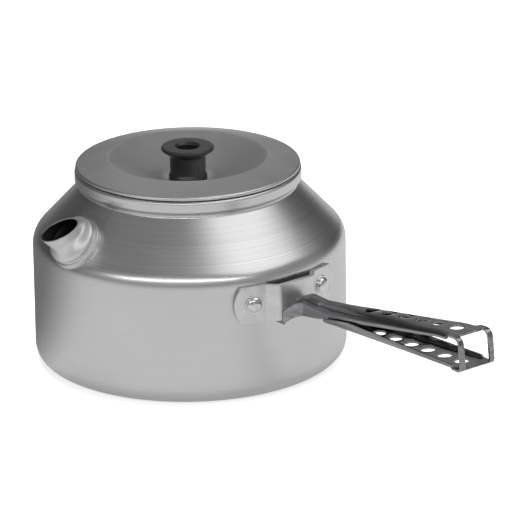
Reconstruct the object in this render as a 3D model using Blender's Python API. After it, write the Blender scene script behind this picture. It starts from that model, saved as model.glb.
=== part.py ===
"""Camping kettle: spun body, crimped spout, riveted bracket, hook-on handle, and a lid with its knob.

Frame: metres, +Z up. The origin is the centre of the base, on the kettle's axis. +X points at the handle
and -Y at the spout. Sizes below are in millimetres and become metres in the meshes.
"""

import math

import bmesh
import bpy
from mathutils import Matrix, Vector

MM = 0.001

# Fits
GAP = 0.3
LID_SKIRT_CLEARANCE = 0.4
RIVET_HOLE_CLEARANCE = 0.3
SCREW_BORE_CLEARANCE = 0.25
SCREW_HEAD_CLEARANCE = 1.0

# Body, a spun sheet shell
BODY_RADIUS = 72.5
BODY_WALL = 1.2
BASE_FILLET = 8.0
SHOULDER_HEIGHT = 59.6
SHOULDER_FILLET = 10.6
CONE_RISE = 24.0
NECK_RADIUS = 52.4
NECK_RISE = 7.35
NECK_FLARE_WIDTH = 2.3
NECK_FLARE_RISE = 2.3
NECK_FILLET = 1.3
MOUTH_LIP_WIDTH = 4.6

# Lid, a pressed sheet with a sunk middle and a folded edge
LID_SHEET = 0.8
LID_EDGE_SETBACK = 0.5
LID_EDGE_HEIGHT = 1.75
LID_EDGE_FILLET = 1.1
LID_FOLD_FILLET = 0.85
LID_FLAT_WIDTH = 15.3
LID_RIDGE_RISE = 3.4
LID_RIDGE_FILLET = 4.0
LID_DISH_DEPTH = 10.4
LID_DISH_FILLET = 9.0
LID_SEAT_MARGIN = 2.6
LID_SKIRT_DEPTH = 6.6

# Knob, a moulded spool with a deep recess
KNOB_HEIGHT = 14.6
KNOB_SHAFT_RADIUS = 8.3
KNOB_FOOT_FLARE = 0.6
KNOB_FOOT_SIDE = 0.8
KNOB_FOOT_HEIGHT = 2.0
KNOB_RIM_OVERHANG = 4.0
KNOB_RIM_SIDE = 1.5
KNOB_RIM_FALL = 3.0
KNOB_FILLET = 0.8
KNOB_TIP_FILLET = 0.4
KNOB_WALL = 3.4
KNOB_FLOOR = 5.0
KNOB_RECESS_FLARE = 0.9
KNOB_RECESS_CHAMFER = 1.2

# Screw, washer and nut that hold the knob
SCREW_RADIUS = 2.0
SCREW_HEAD_HEIGHT = 2.5
SCREW_HEAD_CHAMFER = 0.9
SCREW_SLOT_WIDTH = 1.2
SCREW_SLOT_LENGTH = 4.8
SCREW_SLOT_DEPTH = 1.2
SCREW_TAIL = 1.0
WASHER_RADIUS = 4.5
WASHER_THICKNESS = 0.8
NUT_ACROSS_FLATS = 7.0
NUT_THICKNESS = 3.2

# Spout, seated square to the cone. Heights are above the cone, along the spout's axis.
SPOUT_SEAT_DISTANCE = 11.5
SPOUT_BELL_RADIUS = 11.8
SPOUT_BELL_START = 4.4
SPOUT_BELL_LENGTH = 5.3
SPOUT_RING_LIP = 0.8
SPOUT_RING_HEIGHT = 1.5
SPOUT_RING_FILLET = 0.5
SPOUT_GROOVE_DEPTH = 0.4
SPOUT_GROOVE_SLOPE = 0.7
SPOUT_GROOVE_WIDTH = 0.5
SPOUT_MOUTH_HALF_WIDTH = 7.45
SPOUT_MOUTH_HALF_LENGTH = 8.93
SPOUT_MOUTH_DISTANCE = 13.26
SPOUT_MOUTH_SLANT = 28.3
SPOUT_WALL = 0.9
SPOUT_NECK_INSET = 1.8
SPOUT_NECK_WALL = 1.0
SPOUT_NECK_RELIEF = 0.1
SPOUT_CRIMP_LIP = 1.6
SPOUT_CRIMP_DEPTH = 4.4
SPOUT_CRIMP_THICKNESS = 2.0

# Bracket, a bent strip riveted to the wall
BRACKET_SHEET = 2.0
BRACKET_CENTRE_HEIGHT = 47.5
BRACKET_WIDTH = 17.0
BRACKET_FACE_HALF_WIDTH = 9.1
BRACKET_JOGGLE_LENGTH = 4.1
BRACKET_EAR_LENGTH = 14.9
BRACKET_END_BULGE = 3.0
BRACKET_POCKET_DEPTH = 3.7
BRACKET_BEND_RADIUS = 1.6
RIVET_SETBACK = 6.1
RIVET_RADIUS = 2.0
RIVET_HEAD_RADIUS = 3.7
RIVET_HEAD_HEIGHT = 2.0
RIVET_TAIL_RADIUS = 3.4
RIVET_TAIL_HEIGHT = 1.4

# Handle, a hairpin of stamped sheet whose hooks rise behind the bracket's face from below.
# Distances run outward from the face, and rises are above the bracket's bottom edge.
HANDLE_SHEET = 1.0
HANDLE_LEAST_FLANGE = 0.9
HANDLE_LEAST_CROWN = 0.4
HANDLE_LEAST_STEP = 0.2
HANDLE_LENGTH = 123.5
HANDLE_END_HALF_WIDTH = 9.8
HANDLE_END_LEAN = 1.7
HANDLE_END_UPPER_FILLET = 4.2
HANDLE_END_LOWER_FILLET = 2.4
HANDLE_SIDE_BAR = 2.75
HANDLE_LOWER_BAR = 1.3
HANDLE_WINDOW_SETBACK = 5.1
HANDLE_END_OVERLAP = 1.5
HANDLE_END_SINK = 0.12
HANDLE_ROOT_INSET = 0.4
HANDLE_NECK_HALF_WIDTH = 4.7
HANDLE_NECK_START = 8.5
HANDLE_NECK_END = 18.0
HOOK_THICKNESS = 1.5
HOOK_RISE = 12.0
HOOK_SINK = 0.05
UPPER_ROOT_RISE = 5.4
UPPER_CREST_DISTANCE = 7.0
UPPER_CREST_RISE = 13.2
UPPER_CREST_RADIUS = 8.0
UPPER_NECK_DISTANCE = 20.0
UPPER_NECK_RISE = 13.0
UPPER_BEND_DISTANCE = 106.0
UPPER_BEND_RISE = 25.2
UPPER_BEND_RADIUS = 60.0
UPPER_END_RISE = 25.8
UPPER_KNEE_DISTANCE = 7.4
UPPER_KNEE_DEPTH = 9.6
UPPER_MIDDLE_DISTANCE = 26.0
UPPER_MIDDLE_DEPTH = 6.7
UPPER_END_DEPTH = 2.8
UPPER_ROOT_FOLD = 1.6
UPPER_KNEE_FOLD = 3.6
UPPER_MIDDLE_FOLD = 5.2
UPPER_END_FOLD = 3.6
UPPER_LEG_SETBACK = 11.0
UPPER_LEG_INSET = 0.4
LOWER_LEG_START = 26.4
LOWER_LEG_SETBACK = 8.0
LOWER_LEG_INSET = 0.3
LOWER_START_RISE = 5.4
LOWER_END_RISE = 9.8
LOWER_SLANT_LENGTH = 17.6
LOWER_DEPTH = 4.6
LOWER_START_HALF_WIDTH = 7.0
LOWER_END_DEPTH = 2.2
LOWER_FOLD = 2.3
HOLE_RADIUS = 3.4
HOLE_COUNT = 6
UPPER_HOLE_SETBACK = 14.1
UPPER_HOLE_PITCH = 11.3
LOWER_HOLE_SETBACK = 11.0
LOWER_HOLE_PITCH = 11.1

# Body and lid heights and radii worked out from the sizes above
CONE_TOP_RADIUS = NECK_RADIUS - NECK_FLARE_WIDTH
CONE_SLOPE = math.atan2(CONE_RISE, BODY_RADIUS - CONE_TOP_RADIUS)
CONE_TOP_HEIGHT = SHOULDER_HEIGHT + CONE_RISE
NECK_TOP_HEIGHT = CONE_TOP_HEIGHT + NECK_RISE
MOUTH_RADIUS = NECK_RADIUS - MOUTH_LIP_WIDTH
LID_RADIUS = NECK_RADIUS - LID_EDGE_SETBACK
LID_RIDGE_RADIUS = LID_RADIUS - LID_FLAT_WIDTH
LID_EDGE_BOTTOM = NECK_TOP_HEIGHT + GAP
LID_EDGE_TOP = LID_EDGE_BOTTOM + LID_EDGE_HEIGHT
LID_RIDGE_HEIGHT = LID_EDGE_TOP + LID_RIDGE_RISE
LID_FLOOR_HEIGHT = LID_RIDGE_HEIGHT - LID_DISH_DEPTH
KNOB_BASE_HEIGHT = LID_FLOOR_HEIGHT + GAP
KNOB_FOOT_RADIUS = KNOB_SHAFT_RADIUS + KNOB_FOOT_FLARE
KNOB_RECESS_RADIUS = KNOB_SHAFT_RADIUS - KNOB_WALL
SCREW_HEAD_RADIUS = KNOB_RECESS_RADIUS - SCREW_HEAD_CLEARANCE
SCREW_BORE_RADIUS = SCREW_RADIUS + SCREW_BORE_CLEARANCE

# Spout, bracket and handle places worked out from the sizes above
SPOUT_NECK_RADIUS = SPOUT_BELL_RADIUS - SPOUT_NECK_INSET
SPOUT_CRIMP_RADIUS = SPOUT_NECK_RADIUS + SPOUT_CRIMP_LIP
SPOUT_RING_RADIUS = SPOUT_BELL_RADIUS + SPOUT_RING_LIP
SPOUT_GROOVE_RADIUS = SPOUT_BELL_RADIUS - SPOUT_GROOVE_DEPTH
BRACKET_INNER_RADIUS = BODY_RADIUS + GAP
BRACKET_OUTER_RADIUS = BRACKET_INNER_RADIUS + BRACKET_SHEET
BRACKET_FACE_INNER = BODY_RADIUS + BRACKET_POCKET_DEPTH
BRACKET_FACE_OUTER = BRACKET_FACE_INNER + BRACKET_SHEET
BRACKET_EAR_START = BRACKET_FACE_HALF_WIDTH + BRACKET_JOGGLE_LENGTH
BRACKET_EAR_END = BRACKET_EAR_START + BRACKET_EAR_LENGTH
BRACKET_BOTTOM = BRACKET_CENTRE_HEIGHT - BRACKET_WIDTH / 2
BRACKET_TOP = BRACKET_CENTRE_HEIGHT + BRACKET_WIDTH / 2
RIVET_ANGLE = math.asin((BRACKET_EAR_START + RIVET_SETBACK) / BRACKET_INNER_RADIUS)
HANDLE_ROOT = BRACKET_FACE_OUTER + GAP
HANDLE_ROOT_HALF_WIDTH = BRACKET_FACE_HALF_WIDTH - HANDLE_ROOT_INSET
UPPER_LEG_LENGTH = HANDLE_LENGTH - UPPER_LEG_SETBACK
LOWER_LEG_LENGTH = HANDLE_LENGTH - LOWER_LEG_SETBACK
UPPER_END_DISTANCE = HANDLE_LENGTH - HANDLE_END_LEAN

# Facets round each turned piece, and the turn of one facet of a fillet
BODY_SEGMENTS = 60
PIECE_SEGMENTS = 36
FASTENER_SEGMENTS = 20
ARC_STEP = math.radians(22.5)
TAU = 2 * math.pi


# Outlines: lists of 2-D points in millimetres

def rounded_path(corners):
    """Polyline through (x, y, radius) corners, with an arc of that radius at each inner corner."""
    points = []
    last = len(corners) - 1
    for index, (x, y, radius) in enumerate(corners):
        corner = Vector((x, y))
        if index in (0, last) or radius == 0:
            points.append(corner)
            continue
        before = (Vector(corners[index - 1][:2]) - corner).normalized()
        after = (Vector(corners[index + 1][:2]) - corner).normalized()
        opening = before.angle(after)
        reach = radius / math.tan(opening / 2)
        centre = corner + (before + after).normalized() * (radius / math.sin(opening / 2))
        start = corner + before * reach - centre
        finish = corner + after * reach - centre
        turn = math.atan2(start.x * finish.y - start.y * finish.x, start.dot(finish))
        steps = max(2, round(abs(turn) / ARC_STEP))
        for step in range(steps + 1):
            angle = turn * step / steps
            spun = Matrix.Rotation(angle, 2) @ start
            points.append(centre + spun)
    return points


def offset_path(points, distance):
    """The polyline moved sideways by distance, to the right of its direction."""
    moved = []
    for index, point in enumerate(points):
        before = points[index] - points[index - 1] if index else points[1] - points[0]
        after = points[index + 1] - point if index + 1 < len(points) else before
        sides = [Vector((step.y, -step.x)).normalized() for step in (before, after)]
        middle = (sides[0] + sides[1]).normalized()
        moved.append(point + middle * (distance / middle.dot(sides[0])))
    return moved


def sheet_section(path, first_side, second_side):
    """Closed outline of a sheet between two offsets of one path."""
    near = offset_path(path, first_side)
    far = offset_path(path, second_side)
    return near + far[::-1]


def height_at(path, x):
    """Height of a path of (x, y) points at x."""
    for near, far in zip(path, path[1:]):
        if x <= far.x:
            break
    return near.y + (far.y - near.y) * (x - near.x) / (far.x - near.x)


# Meshes and objects

def material(name, colour, roughness, metallic):
    made = bpy.data.materials.new(name)
    made.use_nodes = True
    shader = made.node_tree.nodes["Principled BSDF"]
    shader.inputs["Base Color"].default_value = (*colour, 1.0)
    shader.inputs["Roughness"].default_value = roughness
    shader.inputs["Metallic"].default_value = metallic
    return made


def add_object(name, bm, surface=None, sharp=30):
    bmesh.ops.remove_doubles(bm, verts=bm.verts, dist=1e-7)
    bmesh.ops.recalc_face_normals(bm, faces=bm.faces)
    mesh = bpy.data.meshes.new(name)
    bm.to_mesh(mesh)
    bm.free()
    mesh.shade_smooth()
    mesh.set_sharp_from_angle(angle=math.radians(sharp))
    made = bpy.data.objects.new(name, mesh)
    bpy.context.scene.collection.objects.link(made)
    if surface:
        mesh.materials.append(surface)
    else:
        made.display_type = "WIRE"
        made.hide_render = True
    return made


def turned_mesh(section, segments):
    """A closed (radius, height) outline spun about Z."""
    bm = bmesh.new()
    ring = [bm.verts.new((radius * MM, 0, height * MM)) for radius, height in section]
    edges = [bm.edges.new((ring[i - 1], ring[i])) for i in range(len(ring))]
    bmesh.ops.spin(bm, geom=ring + edges, cent=(0, 0, 0), axis=(0, 0, 1), angle=TAU,
                   steps=segments, use_merge=True, use_duplicate=False)
    bmesh.ops.remove_doubles(bm, verts=bm.verts, dist=1e-6)
    flat = [face for face in bm.faces if face.calc_area() < 1e-14]
    bmesh.ops.delete(bm, geom=flat, context="FACES")
    loose = [edge for edge in bm.edges if not edge.link_faces]
    bmesh.ops.delete(bm, geom=loose, context="EDGES")
    return bm


def extruded_mesh(outline, axis, low, high):
    """A closed outline in the two other axes, in order, filled and run along axis from low to high."""
    bm = bmesh.new()
    others = [i for i in range(3) if i != axis]
    ring = []
    for point in outline:
        place = [0.0, 0.0, 0.0]
        place[axis] = low * MM
        place[others[0]] = point[0] * MM
        place[others[1]] = point[1] * MM
        ring.append(bm.verts.new(place))
    face = bm.faces.new(ring)
    lifted = bmesh.ops.extrude_face_region(bm, geom=[face])["geom"]
    shift = Vector((0, 0, 0))
    shift[axis] = (high - low) * MM
    bmesh.ops.translate(bm, verts=[v for v in lifted if isinstance(v, bmesh.types.BMVert)], vec=shift)
    return bm


def lofted_mesh(rings, closed=False):
    """Rings of equal length bridged in order, with end faces unless the last meets the first."""
    bm = bmesh.new()
    loops = [[bm.verts.new(Vector(point) * MM) for point in ring] for ring in rings]
    count = len(loops[0])
    last = len(loops) if closed else len(loops) - 1
    for index in range(last):
        near = loops[index]
        far = loops[(index + 1) % len(loops)]
        for side in range(count):
            following = (side + 1) % count
            bm.faces.new((near[side], near[following], far[following], far[side]))
    if not closed:
        bm.faces.new(loops[0])
        bm.faces.new(loops[-1])
    return bm


def cylinder(name, radius, low, high, place=Matrix(), segments=PIECE_SEGMENTS):
    bm = turned_mesh([(0, low), (radius, low), (radius, high), (0, high)], segments)
    bm.transform(place)
    return add_object(name, bm)


def boolean(target, other, operation):
    step = target.modifiers.new(other.name, "BOOLEAN")
    step.operation = operation
    step.solver = "EXACT"
    step.object = other


def radial_place(angle, height):
    """Puts local +Z on the outward direction at this angle about the kettle's axis, at this height."""
    turned = Matrix.Rotation(angle, 4, "Z") @ Matrix.Rotation(math.pi / 2, 4, "Y")
    return Matrix.Translation((0, 0, height * MM)) @ turned


def spout_place():
    """Puts local +Z on the spout's axis, square to the cone, with local +Y up the cone."""
    radius = BODY_RADIUS - SPOUT_SEAT_DISTANCE * math.cos(CONE_SLOPE)
    height = SHOULDER_HEIGHT + SPOUT_SEAT_DISTANCE * math.sin(CONE_SLOPE)
    return Matrix.Translation((0, -radius * MM, height * MM)) @ Matrix.Rotation(CONE_SLOPE, 4, "X")


# Body

def body_path():
    return rounded_path([
        (0, 0, 0),
        (BODY_RADIUS, 0, BASE_FILLET),
        (BODY_RADIUS, SHOULDER_HEIGHT, SHOULDER_FILLET),
        (CONE_TOP_RADIUS, CONE_TOP_HEIGHT, NECK_FILLET),
        (NECK_RADIUS, CONE_TOP_HEIGHT + NECK_FLARE_RISE, NECK_FILLET),
        (NECK_RADIUS, NECK_TOP_HEIGHT, NECK_FILLET),
        (MOUTH_RADIUS, NECK_TOP_HEIGHT, 0),
    ])


def make_body(surface):
    section = sheet_section(body_path(), 0, -BODY_WALL)
    body = add_object("kettle_body", turned_mesh(section, BODY_SEGMENTS), surface)
    neck = SPOUT_NECK_RADIUS + GAP
    hole = spout_cylinder("spout_hole_cutter", neck, -SPOUT_CRIMP_DEPTH, SPOUT_BELL_START)
    boolean(body, hole, "DIFFERENCE")
    for side in (-1, 1):
        place = radial_place(side * RIVET_ANGLE, BRACKET_CENTRE_HEIGHT)
        radius = RIVET_RADIUS + RIVET_HOLE_CLEARANCE
        hole = cylinder("rivet_hole_cutter", radius, BODY_RADIUS - 4 * BODY_WALL, BRACKET_FACE_OUTER, place,
                        FASTENER_SEGMENTS)
        boolean(body, hole, "DIFFERENCE")
    return body


# Spout

def spout_angles():
    """Angles of the spout's facets, half a facet off the body's facet edge that runs down its middle."""
    return [TAU * (index + 0.5) / PIECE_SEGMENTS for index in range(PIECE_SEGMENTS)]


def spout_cylinder(name, radius, low, high):
    place = spout_place() @ Matrix.Rotation(spout_angles()[0], 4, "Z")
    return cylinder(name, radius, low, high, place)


def bell_blend(share):
    return 0.5 * (1 + math.cos(math.pi * min(max(share, 0.0), 1.0)))


def spout_ring(share, inset):
    """One ring of the spout's tube, share of the way from the bell's foot to the slanted mouth."""
    points = []
    slant = math.tan(math.radians(SPOUT_MOUTH_SLANT))
    for angle in spout_angles():
        across = math.cos(angle)
        up = math.sin(angle)
        mouth = SPOUT_MOUTH_DISTANCE - up * SPOUT_MOUTH_HALF_LENGTH * slant
        height = SPOUT_BELL_START + share * (mouth - SPOUT_BELL_START)
        bell_end = min(SPOUT_BELL_START + SPOUT_BELL_LENGTH, mouth)
        flare = bell_blend((height - SPOUT_BELL_START) / (bell_end - SPOUT_BELL_START))
        half_width = SPOUT_MOUTH_HALF_WIDTH + flare * (SPOUT_BELL_RADIUS - SPOUT_MOUTH_HALF_WIDTH)
        half_length = SPOUT_MOUTH_HALF_LENGTH + flare * (SPOUT_BELL_RADIUS - SPOUT_MOUTH_HALF_LENGTH)
        points.append((across * (half_width - inset), up * (half_length - inset), height))
    return points


def flat_ring(radius, height):
    return [(radius * math.cos(angle), radius * math.sin(angle), height) for angle in spout_angles()]


def make_spout(surface):
    steps = 7
    shares = [index / steps for index in range(steps + 1)]
    outer = [spout_ring(share, 0) for share in shares]
    inner = [spout_ring(share, SPOUT_WALL) for share in shares]
    crimp_top = SPOUT_CRIMP_THICKNESS - SPOUT_CRIMP_DEPTH
    groove_start = SPOUT_RING_HEIGHT + SPOUT_GROOVE_SLOPE
    groove_end = groove_start + SPOUT_GROOVE_WIDTH
    bore = SPOUT_NECK_RADIUS - SPOUT_NECK_WALL
    foot = [
        flat_ring(bore, SPOUT_RING_HEIGHT),
        flat_ring(bore, -SPOUT_CRIMP_DEPTH),
        flat_ring(SPOUT_CRIMP_RADIUS, -SPOUT_CRIMP_DEPTH),
        flat_ring(SPOUT_CRIMP_RADIUS, crimp_top),
        flat_ring(SPOUT_NECK_RADIUS, crimp_top),
        flat_ring(SPOUT_NECK_RADIUS, -BODY_WALL),
        flat_ring(SPOUT_RING_RADIUS, -BODY_WALL),
        flat_ring(SPOUT_RING_RADIUS, SPOUT_RING_HEIGHT - SPOUT_RING_FILLET),
        flat_ring(SPOUT_RING_RADIUS - SPOUT_RING_FILLET, SPOUT_RING_HEIGHT),
        flat_ring(SPOUT_GROOVE_RADIUS, groove_start),
        flat_ring(SPOUT_GROOVE_RADIUS, groove_end),
        flat_ring(SPOUT_BELL_RADIUS, groove_end + SPOUT_GROOVE_SLOPE),
    ]
    rings = foot + outer + inner[::-1]
    bm = lofted_mesh(rings, closed=True)
    bm.transform(spout_place())
    spout = add_object("spout", bm, surface)
    shell = sheet_section(body_path(), GAP, -BODY_WALL - GAP)
    seat = add_object("spout_seat_cutter", turned_mesh(shell, BODY_SEGMENTS))
    relieved = SPOUT_NECK_RADIUS - SPOUT_NECK_RELIEF
    core = spout_cylinder("spout_neck_cutter", relieved, -2 * SPOUT_CRIMP_DEPTH, SPOUT_BELL_START)
    boolean(seat, core, "DIFFERENCE")
    boolean(spout, seat, "DIFFERENCE")
    return spout


# Bracket and rivets

def bracket_plan():
    """Inner line of the strip seen from above, from the far ear's end to the near one's."""
    corners = []
    ear_angle = math.asin(BRACKET_EAR_START / BRACKET_INNER_RADIUS)
    end_angle = math.asin(BRACKET_EAR_END / BRACKET_INNER_RADIUS)
    steps = 4
    for step in range(steps + 1):
        angle = end_angle + (ear_angle - end_angle) * step / steps
        bend = BRACKET_BEND_RADIUS if step == steps else 0
        x = BRACKET_INNER_RADIUS * math.cos(angle)
        y = BRACKET_INNER_RADIUS * math.sin(angle)
        corners.append((x, y, bend))
    corners.append((BRACKET_FACE_INNER, BRACKET_FACE_HALF_WIDTH, BRACKET_BEND_RADIUS))
    corners += [(x, -y, radius) for x, y, radius in corners[::-1]]
    return rounded_path(corners)


def make_bracket(surface):
    outline = sheet_section(bracket_plan(), 0, -BRACKET_SHEET)
    bracket = add_object("handle_bracket", extruded_mesh(outline, 2, BRACKET_BOTTOM, BRACKET_TOP), surface)
    half_height = BRACKET_WIDTH / 2
    bulge_radius = (half_height ** 2 + BRACKET_END_BULGE ** 2) / (2 * BRACKET_END_BULGE)
    sweep = math.asin(half_height / bulge_radius)
    ends = []
    for side in (1, -1):
        for step in range(7):
            angle = sweep * (step / 3 - 1)
            y = BRACKET_EAR_END - bulge_radius * (1 - math.cos(angle))
            ends.append((side * y, BRACKET_CENTRE_HEIGHT + side * bulge_radius * math.sin(angle)))
    trim = add_object("bracket_end_trim", extruded_mesh(ends, 0, 0, BRACKET_FACE_OUTER + BRACKET_SHEET))
    boolean(bracket, trim, "INTERSECT")
    for side in (-1, 1):
        place = radial_place(side * RIVET_ANGLE, BRACKET_CENTRE_HEIGHT)
        radius = RIVET_RADIUS + RIVET_HOLE_CLEARANCE
        hole = cylinder("bracket_hole_cutter", radius, BODY_RADIUS, BRACKET_FACE_OUTER, place,
                        FASTENER_SEGMENTS)
        boolean(bracket, hole, "DIFFERENCE")
    return bracket


def dome(radius, base, height, direction):
    """Points of a domed head from its edge to its top on the axis."""
    points = []
    steps = 4
    for step in range(steps + 1):
        angle = math.pi / 2 * step / steps
        points.append((radius * math.cos(angle), base + direction * height * math.sin(angle)))
    return points


def make_rivet(name, side, surface):
    head_base = BRACKET_OUTER_RADIUS + GAP
    tail_base = BODY_RADIUS - BODY_WALL - GAP
    section = dome(RIVET_TAIL_RADIUS, tail_base, RIVET_TAIL_HEIGHT, -1)[::-1]
    section += [(RIVET_RADIUS, tail_base), (RIVET_RADIUS, head_base)]
    section += dome(RIVET_HEAD_RADIUS, head_base, RIVET_HEAD_HEIGHT, 1)
    rivet = add_object(name, turned_mesh(section, FASTENER_SEGMENTS), surface)
    rivet.matrix_world = radial_place(side * RIVET_ANGLE, BRACKET_CENTRE_HEIGHT)
    return rivet


# Handle

class Leg:
    """One leg: a channel whose web, flange depth, half width and fold are read from paths along it."""

    def __init__(self, web, depth, half_width, fold, direction):
        self.web = rounded_path(web)
        self.depth = rounded_path(depth)
        self.half_width = rounded_path(half_width)
        self.fold = rounded_path(fold)
        self.direction = direction

    def section(self, distance, inset):
        """Half outline of the channel, from the flange's edge to its fold with the web."""
        web = height_at(self.web, distance)
        depth = height_at(self.depth, distance)
        half_width = height_at(self.half_width, distance)
        fold = min(height_at(self.fold, distance), half_width - HANDLE_LEAST_CROWN)
        drop = min(fold, depth - HANDLE_LEAST_FLANGE)
        points = [(half_width - inset, web - self.direction * depth)]
        steps = 4
        for step in range(steps + 1):
            angle = math.pi / 2 * step / steps
            y = half_width - fold + (fold - inset) * math.cos(angle)
            fall = drop - (drop - inset) * math.sin(angle)
            points.append((y, web - self.direction * fall))
        return points

    def ring(self, distance):
        outer = self.section(distance, 0)
        inner = self.section(distance, HANDLE_SHEET)
        loop = outer + [(-y, z) for y, z in outer[::-1]] + [(-y, z) for y, z in inner] + inner[::-1]
        return [(HANDLE_ROOT + distance, y, BRACKET_BOTTOM + z) for y, z in loop]

    def mesh(self, distances):
        return lofted_mesh([self.ring(distance) for distance in distances])

    def web_height(self, distance):
        return BRACKET_BOTTOM + height_at(self.web, distance)


def upper_leg():
    web = [(0, UPPER_ROOT_RISE, 0), (UPPER_CREST_DISTANCE, UPPER_CREST_RISE, UPPER_CREST_RADIUS),
           (UPPER_NECK_DISTANCE, UPPER_NECK_RISE, UPPER_CREST_RADIUS),
           (UPPER_BEND_DISTANCE, UPPER_BEND_RISE, UPPER_BEND_RADIUS),
           (UPPER_END_DISTANCE, UPPER_END_RISE, 0)]
    root = UPPER_ROOT_RISE + GAP + HOOK_THICKNESS + HOOK_SINK
    depth = [(0, root, 0), (UPPER_KNEE_DISTANCE, UPPER_KNEE_DEPTH, 0),
             (UPPER_MIDDLE_DISTANCE, UPPER_MIDDLE_DEPTH, 0), (UPPER_LEG_LENGTH, UPPER_END_DEPTH, 0)]
    width = [(0, HANDLE_ROOT_HALF_WIDTH, 0), (HANDLE_NECK_START, HANDLE_NECK_HALF_WIDTH, UPPER_CREST_RADIUS),
             (HANDLE_NECK_END, HANDLE_NECK_HALF_WIDTH, 0),
             (UPPER_LEG_LENGTH, HANDLE_END_HALF_WIDTH - UPPER_LEG_INSET, 0)]
    fold = [(0, UPPER_ROOT_FOLD, 0), (UPPER_KNEE_DISTANCE, UPPER_KNEE_FOLD, 0),
            (UPPER_MIDDLE_DISTANCE, UPPER_MIDDLE_FOLD, 0), (UPPER_BEND_DISTANCE, UPPER_MIDDLE_FOLD, 0),
            (UPPER_LEG_LENGTH, UPPER_END_FOLD, 0)]
    return Leg(web, depth, width, fold, 1)


def lower_leg():
    web = [(LOWER_LEG_START, LOWER_START_RISE, 0), (LOWER_LEG_LENGTH, LOWER_END_RISE, 0)]
    depth = [(LOWER_LEG_START, LOWER_END_DEPTH, 0), (LOWER_LEG_START + LOWER_SLANT_LENGTH, LOWER_DEPTH, 0),
             (LOWER_LEG_LENGTH, LOWER_END_DEPTH, 0)]
    width = [(LOWER_LEG_START, LOWER_START_HALF_WIDTH, 0),
             (LOWER_LEG_LENGTH, HANDLE_END_HALF_WIDTH - LOWER_LEG_INSET, 0)]
    fold = [(LOWER_LEG_START, LOWER_FOLD, 0), (LOWER_LEG_LENGTH, LOWER_FOLD, 0)]
    return Leg(web, depth, width, fold, -1)


def make_hook(side):
    """A side plate's hook that runs under the bracket's face and rises behind it."""
    tip = BRACKET_INNER_RADIUS + GAP
    back = BRACKET_FACE_INNER - GAP
    top = BRACKET_BOTTOM - GAP
    bottom = top - HOOK_THICKNESS
    foot = HANDLE_ROOT + HANDLE_SHEET
    outline = [(tip, bottom), (HANDLE_ROOT, bottom), (foot, bottom + GAP), (foot, top), (back, top),
               (back, top + HOOK_RISE), (tip, top + HOOK_RISE)]
    outside = HANDLE_ROOT_HALF_WIDTH - HOOK_SINK
    inside = HANDLE_ROOT_HALF_WIDTH - HANDLE_SHEET + HOOK_SINK
    sides = sorted((side * outside, side * inside))
    return add_object("hook_guide", extruded_mesh(outline, 1, *sides))


def make_handle_end(upper, lower):
    """The strip that joins the legs' far ends, overlapping each web, before its window is cut."""
    end = HANDLE_ROOT + HANDLE_LENGTH
    upper_stop = UPPER_LEG_LENGTH - HANDLE_END_OVERLAP
    lower_stop = LOWER_LEG_LENGTH - HANDLE_END_OVERLAP
    path = rounded_path([
        (HANDLE_ROOT + upper_stop, upper.web_height(upper_stop) - HANDLE_END_SINK, 0),
        (end - HANDLE_END_LEAN, upper.web_height(UPPER_END_DISTANCE) - HANDLE_END_SINK,
         HANDLE_END_UPPER_FILLET),
        (end, lower.web_height(LOWER_LEG_LENGTH) + HANDLE_END_SINK, HANDLE_END_LOWER_FILLET),
        (HANDLE_ROOT + lower_stop, lower.web_height(lower_stop) + HANDLE_END_SINK, 0),
    ])
    outline = sheet_section(path, 0, HANDLE_SHEET)
    strip = extruded_mesh(outline, 1, -HANDLE_END_HALF_WIDTH, HANDLE_END_HALF_WIDTH)
    return add_object("handle_end_guide", strip)


def handle_cutters(upper, lower):
    """The end window and the round holes through both webs."""
    end = HANDLE_ROOT + HANDLE_LENGTH
    low = lower.web_height(LOWER_LEG_LENGTH) + HANDLE_LOWER_BAR
    high = upper.web_height(UPPER_END_DISTANCE) + HANDLE_SHEET
    inside = HANDLE_END_HALF_WIDTH - HANDLE_SIDE_BAR
    back = end - HANDLE_WINDOW_SETBACK
    window = [(back, low), (end + HANDLE_SHEET, low), (end + HANDLE_SHEET, high), (back, high)]
    cutters = [add_object("handle_window_cutter", extruded_mesh(window, 1, -inside, inside))]
    rows = ((UPPER_HOLE_SETBACK, UPPER_HOLE_PITCH, upper), (LOWER_HOLE_SETBACK, LOWER_HOLE_PITCH, lower))
    for setback, pitch, leg in rows:
        for index in range(HOLE_COUNT):
            distance = HANDLE_LENGTH - setback - index * pitch
            place = Matrix.Translation(Vector((HANDLE_ROOT + distance, 0, leg.web_height(distance))) * MM)
            depth = 3 * HANDLE_SHEET
            hole = cylinder("handle_hole_cutter", HOLE_RADIUS, -depth, depth, place, FASTENER_SEGMENTS)
            cutters.append(hole)
    return cutters


def spaced_stops(stops, end):
    """The stops in order up to the end, without those closer than the least step to the one before."""
    kept = []
    for stop in sorted(stops):
        if stop < end - HANDLE_LEAST_STEP and (not kept or stop - kept[-1] > HANDLE_LEAST_STEP):
            kept.append(stop)
    return kept + [end]


def make_handle(surface):
    upper = upper_leg()
    lower = lower_leg()
    upper_stops = [point.x for point in upper.web] + [UPPER_KNEE_DISTANCE, UPPER_MIDDLE_DISTANCE]
    upper_stops += [point.x for point in upper.half_width]
    upper_mesh = upper.mesh(spaced_stops(upper_stops, UPPER_LEG_LENGTH))
    lower_mesh = lower.mesh(spaced_stops([point.x for point in lower.depth], LOWER_LEG_LENGTH))
    handle = add_object("handle", upper_mesh, surface)
    guides = [add_object("lower_leg_guide", lower_mesh), make_hook(-1), make_hook(1),
              make_handle_end(upper, lower)]
    for guide in guides:
        boolean(handle, guide, "UNION")
    for cutter in handle_cutters(upper, lower):
        boolean(handle, cutter, "DIFFERENCE")
    return handle


# Lid, knob and screw

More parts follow.
